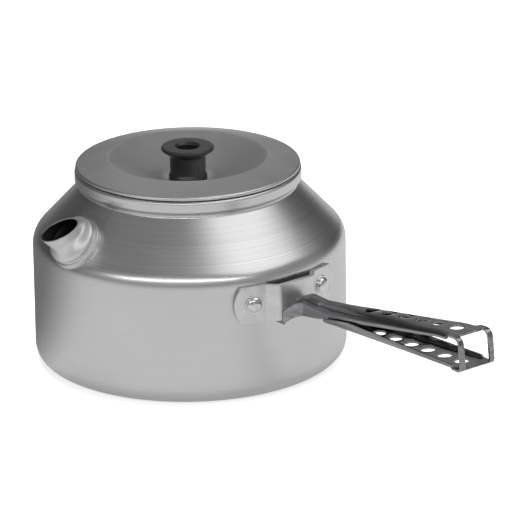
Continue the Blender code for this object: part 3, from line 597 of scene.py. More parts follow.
def make_finishes():
    """One material for each slot of the part, by the piece it is for."""
    turning = make_turning_marks()
    grain = make_satin_grain()
    marks = make_handling_marks()
    drawn = make_drawn_lines()

    body = Finish("spun_aluminium", anisotropic=0.45)
    lines = body.place(turning, line_spacing=0.9, drift=0.012)
    satin = body.place(grain, grain_size=0.35, patch_size=30.0)
    graph = body.graph
    height = graph.split(graph.object_place())["Z"]
    coming = graph.spread(height, MARKS_BEGIN[0] * MM, MARKS_BEGIN[1] * MM, MARKS_ON_WALL, 1.0)
    going = graph.spread(height, MARKS_FADE[0] * MM, MARKS_FADE[1] * MM, 1.0, MARKS_AT_NECK)
    marked = graph.math("MULTIPLY", graph.math("SUBTRACT", lines["Lines"], 0.5),
                        graph.math("MINIMUM", coming, going))
    mixed = graph.math("ADD", marked, graph.math("MULTIPLY", satin["Grain"], 0.35))
    body.colour(mixed, (0.56, 0.56, 0.565), (0.70, 0.70, 0.70), 0.05, 0.35)
    body.roughness(satin["Patches"], 0.26, 0.32)
    body.bump(mixed, 0.008)
    body.ring_tangent()

    lid = Finish("lid_aluminium", anisotropic=0.5)
    satin = lid.place(grain, grain_size=0.3, patch_size=16.0)
    lines = lid.place(turning, line_spacing=1.4, drift=0.05)
    lid.colour(satin["Patches"], (0.59, 0.59, 0.595), (0.67, 0.67, 0.67))
    lid.roughness(satin["Grain"], 0.29, 0.38)
    lid.bump(lid.graph.math("ADD", satin["Grain"], lid.graph.math("MULTIPLY", lines["Lines"], 0.4)), 0.01)
    lid.ring_tangent()

    spout = Finish("pressed_aluminium")
    satin = spout.place(grain, grain_size=0.3, patch_size=9.0)
    # Painted shade: the spout's inner faces, marked by the inside attribute, are mixed to near black where
    # the deep tube lies in shade
    inside = spout.graph.add("ShaderNodeAttribute", attribute_name="inside").outputs["Fac"]
    outside = spout.colour(satin["Patches"], (0.62, 0.62, 0.625), (0.74, 0.74, 0.74))
    darker = spout.graph.add("ShaderNodeMix", data_type="RGBA")
    spout.graph.link(inside, darker.inputs["Factor"])
    spout.graph.link(outside, darker.inputs["A"])
    darker.inputs["B"].default_value = (0.07, 0.07, 0.07, 1.0)
    spout.graph.link(darker.outputs["Result"], spout.shader.inputs["Base Color"])
    spout.roughness(satin["Grain"], 0.42, 0.52)
    spout.bump(satin["Grain"], 0.008)

    bracket = Finish("bracket_aluminium")
    satin = bracket.place(grain, grain_size=0.3, patch_size=6.0)
    wear = bracket.place(marks, scratch_spacing=1.6, length_ratio=10.0)
    bracket.colour(satin["Patches"], (0.64, 0.64, 0.645), (0.74, 0.74, 0.74))
    bracket.roughness(bracket.graph.math("ADD", satin["Grain"], wear["Scratches"]), 0.38, 0.54, 0.3, 1.2)
    bracket.bump(satin["Grain"], 0.01)

    rivet = Finish("rivet_aluminium")
    satin = rivet.place(grain, grain_size=0.5, patch_size=1.6)
    rivet.colour(satin["Patches"], (0.60, 0.60, 0.60), (0.74, 0.74, 0.74))
    rivet.roughness(satin["Grain"], 0.14, 0.24)
    rivet.bump(satin["Patches"], 0.09)

    handle = Finish("stamped_stainless")
    wear = handle.place(marks, scratch_spacing=2.2, length_ratio=20.0)
    lines = handle.place(drawn, line_width=0.7, line_length=30.0)
    handle.colour(lines["Streaks"], (0.19, 0.19, 0.198), (0.34, 0.34, 0.35))
    handle.roughness(handle.graph.math("ADD", wear["Smears"], wear["Scratches"]), 0.14, 0.26, 0.4, 1.2)
    handle.bump(handle.graph.math("ADD", lines["Lines"], lines["Streaks"]), 0.02)

    knob = Finish("black_plastic", metallic=0.0)
    satin = knob.place(grain, grain_size=0.25, patch_size=7.0)
    wear = knob.place(marks, scratch_spacing=1.2, length_ratio=8.0)
    knob.colour(satin["Patches"], (0.012, 0.012, 0.0125), (0.022, 0.022, 0.023))
    knob.roughness(knob.graph.math("ADD", satin["Patches"], wear["Scratches"]), 0.28, 0.42, 0.3, 1.2)
    knob.bump(satin["Grain"], 0.01)

    steel = Finish("zinc_steel")
    satin = steel.place(grain, grain_size=0.4, patch_size=2.0)
    steel.colour(satin["Patches"], (0.46, 0.46, 0.47), (0.60, 0.60, 0.61))
    steel.roughness(satin["Grain"], 0.24, 0.36)
    steel.bump(satin["Grain"], 0.01)

    made = {"body": body, "lid": lid, "spout": spout, "bracket": bracket, "rivet": rivet, "handle": handle,
            "knob": knob, "steel": steel}
    return {piece: finish.material for piece, finish in made.items()}


# Kettle

def spout_matrix(body_radius):
    """Puts a piece drawn on the vertical axis onto the spout's axis, square to the cone."""
    slope = math.atan2(CONE_TOP_HEIGHT - SHOULDER_HEIGHT, body_radius - CONE_TOP_RADIUS)
    radius = body_radius - SPOUT_SEAT_DISTANCE * math.cos(slope)
    height = SHOULDER_HEIGHT + SPOUT_SEAT_DISTANCE * math.sin(slope)
    return Matrix.Translation((0, -radius * MM, height * MM)) @ Matrix.Rotation(slope, 4, "X")


def model_body(finish, body_radius, top):
    """The outer face turned in one pass, given the sheet's thickness inwards and cut for the spout."""
    outline = rounded([
        (0, 0, 0),
        (body_radius, 0, BASE_FILLET),
        (body_radius, SHOULDER_HEIGHT, SHOULDER_FILLET),
        (CONE_TOP_RADIUS, CONE_TOP_HEIGHT, NECK_FILLET),
        (NECK_RADIUS, NECK_SHELF_HEIGHT, NECK_FILLET),
        (NECK_RADIUS, top, NECK_FILLET),
        (MOUTH_RADIUS, top, 0),
    ])
    body = draw_turned("kettle_shell", outline)
    thicken(body, BODY_WALL, 1)
    bpy.ops.mesh.primitive_cylinder_add(vertices=SMALL_SEGMENTS, radius=(SPOUT_NECK_RADIUS + GAP) * MM,
                                        depth=SPOUT_HOLE_DEPTH * MM)
    cutter = bpy.context.object
    cutter.matrix_world = spout_matrix(body_radius)
    bpy.context.view_layer.update()
    cut(body, cutter)
    soften_edges(body, BODY_EDGE_BEVEL)
    dress(body, "kettle", finish, "kettle_body")


def draw_ring(name, radius, height):
    """A circle in edit mode, the first ring of a tube."""
    bpy.ops.object.select_all(action="DESELECT")
    bpy.ops.mesh.primitive_circle_add(vertices=SMALL_SEGMENTS, radius=radius * MM)
    piece = start_drawing(name)
    bpy.ops.transform.translate(value=(0, 0, height * MM))
    return piece


def next_ring(before, after):
    """Extrudes the selected ring from one (width, length, middle, height, tilt) to the next."""
    width, length, middle, height, tilt = before
    bpy.ops.mesh.extrude_edges_move(TRANSFORM_OT_translate={"value": (0, 0, (after[3] - height) * MM)})
    turn_ring(-tilt, middle, after[3])
    scale = (after[0] / width, after[1] / length, 1)
    bpy.ops.transform.resize(value=scale, center_override=(0, middle * MM, after[3] * MM))
    bpy.ops.transform.translate(value=(0, (after[2] - middle) * MM, 0))
    turn_ring(after[4], after[2], after[3])


def turn_ring(tilt, middle, height):
    """Leans the selected ring about its own middle, and keeps its outline seen from above."""
    if tilt == 0:
        return
    centre = (0, middle * MM, height * MM)
    if tilt > 0:
        bpy.ops.transform.resize(value=(1, 1 / math.cos(tilt), 1), center_override=centre)
    bpy.ops.transform.rotate(value=tilt, orient_axis="X", center_override=centre)
    if tilt < 0:
        bpy.ops.transform.resize(value=(1, math.cos(tilt), 1), center_override=centre)


def spout_flare(share, angle_sine):
    """Share of the bell's flare left at this share of the way to the mouth, on one side of the spout."""
    mouth = SPOUT_MOUTH_DISTANCE - angle_sine * SPOUT_MOUTH_HALF_LENGTH * math.tan(SPOUT_MOUTH_SLANT)
    height = share * (mouth - SPOUT_BELL_START)
    bell = min(SPOUT_BELL_LENGTH, mouth - SPOUT_BELL_START)
    return 0.5 * (1 + math.cos(math.pi * min(height / bell, 1.0)))


def spout_ring_size(share, inset):
    """Half width, half length, middle, height and tilt of the tube's ring at a share of its length."""
    width = SPOUT_MOUTH_HALF_WIDTH
    width += spout_flare(share, 0) * (SPOUT_BELL_RADIUS - width)
    flare = SPOUT_BELL_RADIUS - SPOUT_MOUTH_HALF_LENGTH
    reach = [SPOUT_MOUTH_HALF_LENGTH + spout_flare(share, side) * flare for side in (1, -1)]
    length = (reach[0] + reach[1]) / 2
    height = SPOUT_BELL_START + share * (SPOUT_MOUTH_DISTANCE - SPOUT_BELL_START)
    fall = share * SPOUT_MOUTH_HALF_LENGTH * math.tan(SPOUT_MOUTH_SLANT)
    tilt = math.atan2(fall, length)
    return (width - inset, length - inset, (reach[0] - reach[1]) / 2, height, tilt)


def model_spout(finish, body_radius):
    """One closed tube: up the bore, down inside the crimp, up the collar and bell, and over the lip."""
    foot = [(SPOUT_BORE, SPOUT_BORE_SEAM), (SPOUT_BORE, SPOUT_CRIMP_BOTTOM),
            (SPOUT_CRIMP_RADIUS, SPOUT_CRIMP_BOTTOM), (SPOUT_CRIMP_RADIUS, SPOUT_CRIMP_TOP),
            (SPOUT_NECK_RADIUS, SPOUT_CRIMP_TOP), (SPOUT_NECK_RADIUS, SPOUT_RING_BOTTOM),
            (SPOUT_RING_RADIUS, SPOUT_RING_BOTTOM), (SPOUT_RING_RADIUS, SPOUT_RING_TOP)]
    collar = rounded([(SPOUT_RING_RADIUS, SPOUT_RING_TOP, 0), SPOUT_RING_FILLET, *SPOUT_COLLAR_CORNERS,
                      (SPOUT_BELL_RADIUS, SPOUT_BELL_START, 0)])
    rings = [(radius, radius, 0, height, 0) for radius, height in foot]
    rings += [(point.x, point.x, 0, point.y, 0) for point in collar[1:]]
    rings += [spout_ring_size(step / SPOUT_STEPS, 0) for step in range(1, SPOUT_STEPS + 1)]
    width, length, middle, height, tilt = rings[-1]
    for inset, rise in ((SPOUT_LIP_EASE, SPOUT_LIP_SHOULDER), (SPOUT_WALL / 2, SPOUT_LIP_CROWN),
                        (SPOUT_WALL - SPOUT_LIP_EASE, SPOUT_LIP_SHOULDER)):
        rings.append((width - inset, length - inset, middle, height + rise, tilt))
    rings += [spout_ring_size(step / SPOUT_STEPS, SPOUT_WALL) for step in range(SPOUT_STEPS, 0, -1)]
    spout = draw_ring("spout_tube", *foot[0])
    for before, after in zip(rings, rings[1:] + rings[:1]):
        next_ring(before, after)
    close_up(spout)
    # The inside attribute marks the faces that look in towards the spout's axis, which the finish paints near
    # black as shade inside the tube
    inside = spout.data.attributes.new("inside", "FLOAT", "POINT")
    for vertex, value in zip(spout.data.vertices, inside.data):
        outward = vertex.normal.x * vertex.co.x + vertex.normal.y * vertex.co.y
        value.value = 1.0 if outward < INSIDE_FACING * vertex.co.xy.length else 0.0
    put_in_place(spout, spout_matrix(body_radius))
    dress(spout, "kettle", finish, "spout")


# Bracket and rivets

def model_bracket(finish, low, high, body_radius):
    """A strip drawn in plan, extruded to its width, rounded at its ends and given its thickness."""
    inner = body_radius + GAP
    face = high.x - BRACKET_SHEET
    corners = []
    ear_end = high.y
    steps = BRACKET_EAR_STEPS
    for step in range(steps + 1):
        y = ear_end + (BRACKET_EAR_START - ear_end) * step / steps
        corners.append((math.sqrt(inner ** 2 - y ** 2), y, BRACKET_BEND_RADIUS if step == steps else 0))
    corners.append((face, BRACKET_FACE_HALF_WIDTH, BRACKET_BEND_RADIUS))
    corners += [(x, -y, radius) for x, y, radius in corners[::-1]]
    plan = rounded(corners)
    bracket = draw_chain("bracket_strip", [(point.x, point.y, low.z) for point in plan])
    rise = (high.z - low.z) / BRACKET_ROWS
    bpy.ops.mesh.select_all(action="SELECT")
    bpy.ops.mesh.select_mode(type="EDGE")
    for row in range(BRACKET_ROWS):
        bpy.ops.mesh.extrude_edges_move(TRANSFORM_OT_translate={"value": (0, 0, rise * MM)})
    bpy.ops.mesh.select_mode(type="VERT")
    half = (high.z - low.z) / 2
    bulge_radius = (half ** 2 + BRACKET_END_BULGE ** 2) / (2 * BRACKET_END_BULGE)
    middle = (high.z + low.z) / 2
    last_step = (ear_end - BRACKET_EAR_START) / steps
    for row in range(BRACKET_ROWS + 1):
        z = low.z + rise * row
        sagitta = bulge_radius - math.sqrt(bulge_radius ** 2 - (z - middle) ** 2)
        reach = ear_end - sagitta
        scale = (reach - BRACKET_EAR_START) / (ear_end - BRACKET_EAR_START)
        for side in (-1, 1):
            for step in range(steps):
                y = ear_end - last_step * step
                moved = BRACKET_EAR_START + (y - BRACKET_EAR_START) * scale
                shift = math.sqrt(inner ** 2 - moved ** 2) - math.sqrt(inner ** 2 - y ** 2)
                select_vertices(bracket, lambda place: (abs(place.z - z) < SAME_PLACE
                                                        and abs(place.y - side * y) < SAME_PLACE))
                bpy.ops.transform.translate(value=(shift * MM, side * (moved - y) * MM, 0))
    bpy.ops.mesh.select_all(action="SELECT")
    bpy.ops.mesh.normals_make_consistent(inside=False)
    leave_editing(bracket)
    inward = -sum(polygon.normal.x for polygon in bracket.data.polygons)
    thicken(bracket, BRACKET_SHEET, inward)
    soften_edges(bracket, BRACKET_EDGE_BEVEL)
    dress(bracket, "kettle", finish, "handle_bracket")


def model_rivet(name, node, side, finish, middle, body_radius):
    """A domed head on a thin pressed collar, the shank through the sheets, and the flared tail inside."""
    seat = body_radius + GAP + BRACKET_SHEET
    tail = body_radius - BODY_WALL - GAP
    groove_width, groove_height = RIVET_GROOVE
    outline = [(0, tail - RIVET_TAIL_HEIGHT)]
    outline += rounded([(POLE_RADIUS, tail - RIVET_TAIL_HEIGHT, 0),
                        (RIVET_TAIL_RADIUS, tail - RIVET_TAIL_EDGE_HEIGHT, 1.0), (RIVET_TAIL_RADIUS, tail, 0),
                        (RIVET_SHANK_RADIUS, tail, 0), (RIVET_SHANK_RADIUS, seat, 0),
                        (RIVET_COLLAR_RADIUS, seat, 0),
                        (RIVET_COLLAR_RADIUS - RIVET_COLLAR_SLOPE, seat + RIVET_COLLAR_HEIGHT, RIVET_CREASE),
                        (RIVET_HEAD_RADIUS + groove_width, seat + groove_height, RIVET_CREASE)])
    for step in range(RIVET_DOME_STEPS + 1):
        angle = math.pi / 2 * step / RIVET_DOME_STEPS
        outline.append((RIVET_HEAD_RADIUS * math.cos(angle),
                        seat + RIVET_DOME_START + RIVET_DOME_HEIGHT * math.sin(angle)))
    rivet = draw_turned(name, outline, SMALL_SEGMENTS, 50)
    turned = Matrix.Rotation(side * RIVET_ANGLE, 4, "Z") @ Matrix.Rotation(math.pi / 2, 4, "Y")
    put_in_place(rivet, Matrix.Translation((0, 0, middle * MM)) @ turned)
    dress(rivet, "kettle", finish, node)


# Lid and knob

def model_lid(finish, lid_radius, edge_bottom, bottom):
    """The outer face from the knob's bore to the foot of the skirt, given the sheet's thickness inwards."""
    edge_top = edge_bottom + LID_EDGE_HEIGHT
    ridge = edge_top + LID_RIDGE_RISE
    floor = ridge - LID_DISH_DEPTH
    skirt = MOUTH_RADIUS - LID_SKIRT_CLEARANCE
    inner_width, inner_drop = LID_RIDGE_INNER_SHOULDER
    outer_width, outer_drop = LID_RIDGE_OUTER_SHOULDER
    outline = rounded([
        (LID_BORE_RADIUS, floor, 0),
        (LID_SEAT_RADIUS, floor, LID_DISH_FILLET),
        (LID_RIDGE_RADIUS - inner_width, ridge - inner_drop, LID_RIDGE_FILLET),
        (LID_RIDGE_RADIUS + outer_width, ridge - outer_drop, LID_RIDGE_FILLET * 0.5),
        (lid_radius, edge_top, LID_EDGE_FILLET),
        (lid_radius, edge_bottom, LID_FOLD_FILLET),
        (skirt, edge_bottom, LID_FOLD_FILLET),
        (skirt, bottom, 0),
    ])
    lid = draw_turned("lid_pressing", outline)
    upward = sum(polygon.normal.z * polygon.area for polygon in lid.data.polygons)
    thicken(lid, LID_SHEET, upward)
    soften_edges(lid, LID_EDGE_BEVEL, angle=50)
    dress(lid, "lid", finish, "lid")


def model_knob(finish, base, top):
    """A turned spool with a deep recess, and the short moulding rib low on its shaft."""
    outline = rounded([
        (LID_BORE_RADIUS, base, 0),
        (KNOB_FOOT_RADIUS, base, 0.2),
        (KNOB_FOOT_RADIUS, base + KNOB_FOOT_HEIGHT, 0.3),
        (KNOB_SHAFT_RADIUS, base + KNOB_SHAFT_START, 1.2),
        (KNOB_SHAFT_RADIUS, top - KNOB_FLARE_DEPTH, 0.5),
        (KNOB_RIM_RADIUS - KNOB_RIM_TAPER, top - KNOB_RIM_DEPTH, 0.4),
        (KNOB_RIM_RADIUS, top, 0.95),
        (KNOB_RECESS_MOUTH_RADIUS, top, 0.8),
        (KNOB_RECESS_RADIUS, top - KNOB_RECESS_MOUTH_DEPTH, 0.6),
        (KNOB_RECESS_RADIUS, base + KNOB_FLOOR, 0.3),
        (LID_BORE_RADIUS, base + KNOB_FLOOR, 0),
        (LID_BORE_RADIUS, base, 0),
    ])
    knob = draw_turned("knob_spool", outline, KNOB_SEGMENTS, 40)
    bpy.ops.mesh.primitive_uv_sphere_add(segments=16, ring_count=10, radius=KNOB_RIB_RADIUS * MM)
    rib = bpy.context.object
    seat = Matrix.Translation((KNOB_SHAFT_RADIUS * MM, 0, (base + KNOB_RIB_HEIGHT) * MM))
    put_in_place(rib, Matrix.Rotation(KNOB_RIB_TURN, 4, "Z") @ seat @ Matrix.Diagonal((*KNOB_RIB_STRETCH, 1)))
    select_only(knob)
    rib.select_set(True)
    bpy.ops.object.join()
    dress(knob, "lid", finish, "lid_knob")


# Handle

def leg_paths():
    """Height, half width, flange depth and fold of each leg's outer face.

    Each is a path of (distance from the bracket's face, value, radius of the corner) along the handle.
    """
    upper = {
        "web": rounded([(0, 5.4, 0), (7.0, 13.2, 8.0), (20.0, 13.0, 8.0), (106.0, 25.2, 60.0),
                        (HANDLE_LENGTH - HANDLE_END_LEAN, UPPER_END_RISE, 0)]),
        "width": rounded([(0, HANDLE_ROOT_HALF_WIDTH, 0), (8.5, HANDLE_NECK_HALF_WIDTH, 8.0),
                          (18.0, HANDLE_NECK_HALF_WIDTH, 6.0), (UPPER_LEG_END, 9.4, 0)]),
        "depth": rounded([(0, 7.25, 0), (7.4, 9.6, 8.0), (26.0, 6.7, 12.0), (UPPER_LEG_END, 2.8, 0)]),
        "fold": rounded([(0, 1.6, 0), (7.4, 3.6, 0), (26.0, 5.2, 0), (100.0, 5.2, 0),
                         (UPPER_LEG_END, 4.0, 0)]),
    }
    lower = {
        "web": rounded([(LOWER_LEG_START, 5.4, 0), (LOWER_LEG_END, LOWER_END_RISE, 0)]),
        "width": rounded([(LOWER_LEG_START, 7.0, 0), (LOWER_LEG_END, 9.5, 0)]),
        "depth": rounded([(LOWER_LEG_START, 2.2, 0), (44.0, 4.6, 20.0), (LOWER_LEG_END, 2.2, 0)]),
        "fold": rounded([(LOWER_LEG_START, 2.3, 0), (LOWER_LEG_END, 2.3, 0)]),
    }
    return upper, lower


def leg_section(leg, distance, direction, flatness=0.0):
    """Points across the sheet's outer face, flange to flange.

    The flatness runs from 0 in the leg to 1 at its end.
    """
    half = height_at(leg["width"], distance)
    half += flatness * (HANDLE_END_HALF_WIDTH - half)
    depth = height_at(leg["depth"], distance) * (1 - flatness)
    fold = min(height_at(leg["fold"], distance), half - HANDLE_LEAST_CROWN)
    drop = min(fold, depth - HANDLE_LEAST_FLANGE * (1 - flatness))
    web = height_at(leg["web"], distance)
    side = [(half, depth)]
    for step in range(FOLD_STEPS + 1):
        angle = math.pi / 2 * step / FOLD_STEPS
        side.append((half - fold + fold * math.cos(angle), drop - drop * math.sin(angle)))
    side.append((0.5 * (half - fold), 0.0))
    across = side + [(-y, fall) for y, fall in side[::-1]]
    return [(distance, y, web - direction * fall) for y, fall in across]


def handle_ribs():
    """The sections, out along the upper leg, down round the end and back along the lower leg."""
    upper, lower = leg_paths()
    ribs = [leg_section(upper, stop, 1) for stop in UPPER_RIBS]
    for setback, flatness in UPPER_FLATTENING:
        ribs.append(leg_section(upper, UPPER_LEG_END + setback, 1, flatness))
    bend_start = UPPER_LEG_END + END_BEND_START
    bend = rounded([(bend_start, height_at(upper["web"], bend_start), 0),
                    (HANDLE_LENGTH - HANDLE_END_LEAN, UPPER_END_RISE, UPPER_BEND_RADIUS),
                    (HANDLE_LENGTH, LOWER_END_RISE, LOWER_BEND_RADIUS),
                    (LOWER_LEG_END + FLAT_SETBACK, LOWER_END_RISE, 0)])
    sides = [point[1] for point in leg_section(upper, UPPER_LEG_END + FLAT_SETBACK, 1, 1.0)]
    ribs += [[(point.x, y, point.y) for y in sides] for point in bend]
    for setback, flatness in LOWER_FLATTENING:
        ribs.append(leg_section(lower, LOWER_LEG_END + setback, -1, flatness))
    ribs += [leg_section(lower, stop, -1) for stop in LOWER_RIBS]
    return upper, lower, ribs


def model_handle(finish, root, base):
    """Ribs drawn across the sheet and bridged in order, then thickened, pierced and given its hooks."""
    upper, lower, ribs = handle_ribs()
    ribs = [[(root + x, y, base + z) for x, y, z in rib] for rib in ribs]
    handle = draw_chain("handle_sheet", ribs[0])
    for rib in ribs[1:]:
        bpy.ops.mesh.select_all(action="DESELECT")
        bpy.ops.mesh.primitive_plane_add(size=MM)
        lead_chain(rib)
    count = len(ribs[0])
    for index in range(len(ribs) - 1):
        bridge_rows(handle, range(index * count, (index + 2) * count))
    close_up(handle, LEAST_RIB_EDGE * MM)
    end = (root + HANDLE_LENGTH - END_FACE_DEPTH) * MM
    outward = sum(face.normal.x * face.area for face in handle.data.polygons if face.center.x > end)
    thicken(handle, HANDLE_SHEET, outward)
    pierce_handle(handle, upper, lower, root, base)
    for side in (-1, 1):
        modify(handle, "BOOLEAN", operation="UNION", solver="EXACT", object=draw_hook(side, root, base))
        bpy.data.objects.remove(bpy.data.objects["hook_plate"])
    soften_edges(handle, HANDLE_EDGE_BEVEL, angle=50)
    dress(handle, "handle", finish, "handle")


def bridge_rows(piece, indices):
    """Bridges two neighbouring chains, which were drawn one after the other."""
    mesh = bmesh.from_edit_mesh(piece.data)
    mesh.verts.ensure_lookup_table()
    chosen = set(indices)
    for edge in mesh.edges:
        edge.select_set(False)
    for edge in mesh.edges:
        first, second = (vertex.index for vertex in edge.verts)
        if first in chosen and second in chosen:
            edge.select_set(True)
    bmesh.update_edit_mesh(piece.data)
    bpy.ops.mesh.bridge_edge_loops()


def pierce_handle(handle, upper, lower, root, base):
    """The two rows of round holes and the window in the end."""
    for setback, pitch, leg in ((UPPER_HOLE_SETBACK, UPPER_HOLE_PITCH, upper),
                                (LOWER_HOLE_SETBACK, LOWER_HOLE_PITCH, lower)):
        for index in range(HANDLE_HOLE_COUNT):
            distance = HANDLE_LENGTH - setback - index * pitch
            height = base + height_at(leg["web"], distance)
            bpy.ops.mesh.primitive_cylinder_add(vertices=HOLE_SEGMENTS, radius=HANDLE_HOLE_RADIUS * MM,
                                                depth=HOLE_CUTTER_DEPTH * MM,
                                                location=((root + distance) * MM, 0, height * MM))
            cut(handle, bpy.context.object)
    back = root + HANDLE_LENGTH - HANDLE_WINDOW_SETBACK
    front = root + HANDLE_LENGTH + WINDOW_PAST_END
    low = base + LOWER_END_RISE + HANDLE_LOWER_BAR
    high = base + UPPER_END_RISE + 2 * HANDLE_SHEET
    width = 2 * (HANDLE_END_HALF_WIDTH - HANDLE_SIDE_BAR)
    middle = ((front + back) / 2, 0, (high + low) / 2)
    cutter = draw_block("window_cutter", (front - back, width, high - low), middle)
    bpy.ops.mesh.bevel(offset=WINDOW_CORNER * MM, segments=5, affect="EDGES")
    leave_editing(cutter)
    cut(handle, cutter)


def draw_hook(side, root, base):
    """One side plate's hook, under the bracket's face and up behind it."""
    tip = root - HOOK_TIP_SETBACK
    back = root - HOOK_FACE_SETBACK
    top = base - GAP
    foot = root + HOOK_OVERLAP
    middle = ((foot + tip) / 2, side * (HANDLE_ROOT_HALF_WIDTH - HANDLE_SHEET / 2), top - HOOK_THICKNESS / 2)
    hook = draw_block("hook_plate", (foot - tip, HANDLE_SHEET - HOOK_SIDE_EASE, HOOK_THICKNESS), middle)
    bpy.ops.mesh.bisect(plane_co=(back * MM, 0, 0), plane_no=(1, 0, 0))
    select_vertices(hook, lambda place: place.x < back + SAME_PLACE and place.z > top - SAME_PLACE)
    bpy.ops.mesh.extrude_region_move(TRANSFORM_OT_translate={"value": (0, 0, HOOK_RISE * MM)})
    leave_editing(hook)
    return hook


# Studio

def set_camera():
    """The photograph's own view: a long lens above the kettle, looking down about 20 degrees."""
    turn = Matrix.Rotation(VIEW_AZIMUTH, 3, "Z")
    forward = turn @ Vector((math.sin(CAMERA_YAW) * math.cos(CAMERA_PITCH),
                             math.cos(CAMERA_YAW) * math.cos(CAMERA_PITCH), -math.sin(CAMERA_PITCH)))
    level = turn @ Vector((math.cos(CAMERA_YAW), -math.sin(CAMERA_YAW), 0))
    up = level.cross(forward)
    right = math.cos(CAMERA_ROLL) * level + math.sin(CAMERA_ROLL) * up
    rolled_up = math.cos(CAMERA_ROLL) * up - math.sin(CAMERA_ROLL) * level
    camera = bpy.data.objects.new("camera", bpy.data.cameras.new("camera"))
    bpy.context.scene.collection.objects.link(camera)
    placed = Matrix((right, rolled_up, -forward)).transposed().to_4x4()
    placed.translation = studio_place(0, -CAMERA_DISTANCE, CAMERA_HEIGHT)
    camera.matrix_world = placed
    camera.data.sensor_width = SENSOR_WIDTH
    camera.data.lens = CAMERA_LENS
    camera.data.clip_end = 20
    bpy.context.scene.camera = camera


def add_softbox(name, place, size, power, mirrored=True):
    """A rectangular lamp aimed at the middle of the kettle, seen in the metal or not."""
    lamp = bpy.data.lights.new(name, "AREA")
    lamp.shape = "RECTANGLE"
    lamp.size = size[0]
    lamp.size_y = size[1]
    lamp.energy = power
    holder = bpy.data.objects.new(name, lamp)
    bpy.context.scene.collection.objects.link(holder)
    holder.location = studio_place(*place)
    holder.rotation_euler = (LAMP_AIM - holder.location).to_track_quat("-Z", "Y").to_euler()
    holder.visible_camera = False
    holder.visible_glossy = mirrored


def toward(graph, direction, place, near, full):
    """How far a direction points at one side of the studio, from 0 outside it to 1 at its middle."""
    product = graph.add("ShaderNodeVectorMath", operation="DOT_PRODUCT")
    graph.link(direction, product.inputs[0])
    product.inputs[1].default_value = studio_place(*place).normalized()
    return graph.spread(product.outputs["Value"], near, full)


def seen_directly(graph, path):
    """1 for a ray from the camera, straight or through glass, and 0 for any other."""
    return graph.math("ADD", path.outputs["Is Camera Ray"], path.outputs["Is Transmission Ray"])


def light_world():
    """A room that is white to the camera, and to the metal a grey that darkens towards the ceiling."""
    world = bpy.data.worlds.new("studio_room")
    bpy.context.scene.world = world
    world.use_nodes = True
    graph = Graph(world.node_tree)
    background = world.node_tree.nodes["Background"]
    direction = graph.add("ShaderNodeTexCoord").outputs["Generated"]
    level = graph.spread(graph.split(direction)["Z"], 0.0, 0.8, ROOM_LEVEL_LOW, ROOM_LEVEL_HIGH)
    glow = toward(graph, direction, ROOM_GLOW_SIDE, 0.88, 0.985)
    level = graph.math("ADD", level, graph.math("MULTIPLY", glow, ROOM_GLOW))
    for place, near, depth in ROOM_DARK_SIDES:
        shade = toward(graph, direction, place, near, 0.98)
        level = graph.math("MULTIPLY", level, graph.math("ADD", graph.math("MULTIPLY", shade, depth), 1.0))
    shown = graph.add("ShaderNodeMix", data_type="FLOAT")
    graph.link(seen_directly(graph, graph.add("ShaderNodeLightPath")), shown.inputs["Factor"])
    graph.link(level, shown.inputs["A"])
    shown.inputs["B"].default_value = 1.0
    graph.link(graph.grey(shown.outputs["Result"]), background.inputs["Color"])


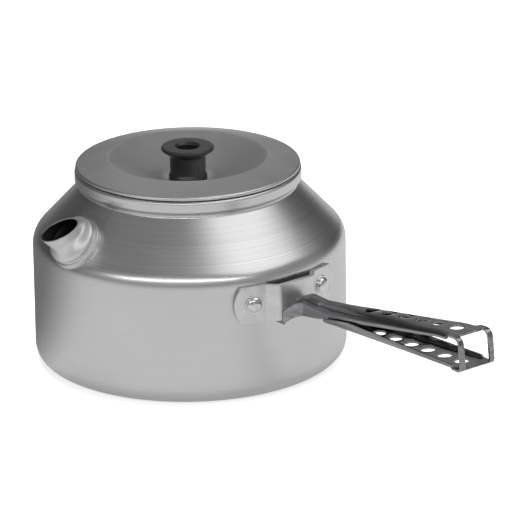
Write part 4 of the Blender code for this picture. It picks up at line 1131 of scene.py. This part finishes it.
def make_floor():
    """White paper a hair below the base, darker in the metal than to the camera, and clear from below."""
    bpy.ops.object.select_all(action="DESELECT")
    bpy.ops.mesh.primitive_plane_add(size=FLOOR_SIZE)
    floor = bpy.context.object
    floor.name = "studio_floor"
    floor.location.z = -FLOOR_DROP * MM
    paper = bpy.data.materials.new("white_paper")
    paper.use_nodes = True
    graph = Graph(paper.node_tree)
    shader = paper.node_tree.nodes["Principled BSDF"]
    shader.inputs["Roughness"].default_value = 1.0
    shader.inputs["Specular IOR Level"].default_value = 0.0
    shader.inputs["Emission Color"].default_value = (1, 1, 1, 1)
    path = graph.add("ShaderNodeLightPath")
    place = graph.add("ShaderNodeVectorMath", operation="NORMALIZE")
    graph.link(graph.object_place(), place.inputs[0])
    shaded = toward(graph, place.outputs[0], FLOOR_DARK_SIDE, 0.58, 0.97)
    lit = graph.math("SUBTRACT", 1.0, graph.math("MULTIPLY", shaded, FLOOR_DARK_DEPTH))
    mirrored = graph.math("MULTIPLY", path.outputs["Is Glossy Ray"], lit)
    glow = graph.math("ADD", graph.math("MULTIPLY", seen_directly(graph, path), FLOOR_GLOW_TO_CAMERA),
                      graph.math("MULTIPLY", mirrored, FLOOR_GLOW_IN_METAL))
    graph.link(glow, shader.inputs["Emission Strength"])
    drop = graph.math("MULTIPLY", path.outputs["Is Glossy Ray"], FLOOR_COLOUR_DROP_IN_METAL)
    level = graph.math("ADD", graph.math("SUBTRACT", FLOOR_COLOUR, drop),
                       graph.math("MULTIPLY", mirrored, FLOOR_COLOUR_RISE_IN_METAL))
    graph.link(graph.grey(level), shader.inputs["Base Color"])
    shown = graph.add("ShaderNodeMixShader")
    graph.link(graph.add("ShaderNodeNewGeometry").outputs["Backfacing"], shown.inputs["Fac"])
    graph.link(shader.outputs["BSDF"], shown.inputs[1])
    graph.link(graph.add("ShaderNodeBsdfTransparent").outputs["BSDF"], shown.inputs[2])
    graph.link(shown.outputs["Shader"], paper.node_tree.nodes["Material Output"].inputs["Surface"])
    floor.data.materials.append(paper)


def light_studio():
    """Soft light from the side and the front, and a lamp overhead that the metal doesn't mirror."""
    bpy.context.scene.view_settings.view_transform = "Standard"
    light_world()
    add_softbox("side_softbox", (0.70, -0.13, 1.32), (1.3, 1.2), 6.0)
    add_softbox("front_softbox", (-0.25, -1.45, 1.10), (3.3, 0.26), 10)
    add_softbox("shadow_softbox", (-0.1, 0.25, 1.9), (0.9, 0.9), 30, mirrored=False)


def main():
    finishes = make_finishes()
    body_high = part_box("kettle_body")[1] / MM
    bracket_low, bracket_high = (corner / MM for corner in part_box("handle_bracket"))
    lid_low, lid_high = (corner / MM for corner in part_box("lid"))
    knob_low, knob_high = (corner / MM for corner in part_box("lid_knob"))
    body_radius = body_high.x
    model_body(finishes["body"], body_radius, body_high.z)
    model_spout(finishes["spout"], body_radius)
    model_bracket(finishes["bracket"], bracket_low, bracket_high, body_radius)
    middle = (bracket_low.z + bracket_high.z) / 2
    model_rivet("rivet_near", "rivet_left", -1, finishes["rivet"], middle, body_radius)
    model_rivet("rivet_far", "rivet_right", 1, finishes["rivet"], middle, body_radius)
    model_handle(finishes["handle"], bracket_high.x + GAP, bracket_low.z)
    model_lid(finishes["lid"], lid_high.x, body_high.z + GAP, lid_low.z)
    model_knob(finishes["knob"], knob_low.z, knob_high.z)
    for node in ("knob_screw", "knob_washer", "knob_nut"):
        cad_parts[node].material_slots[0].material = finishes["steel"]
    set_camera()
    make_floor()
    light_studio()


main()
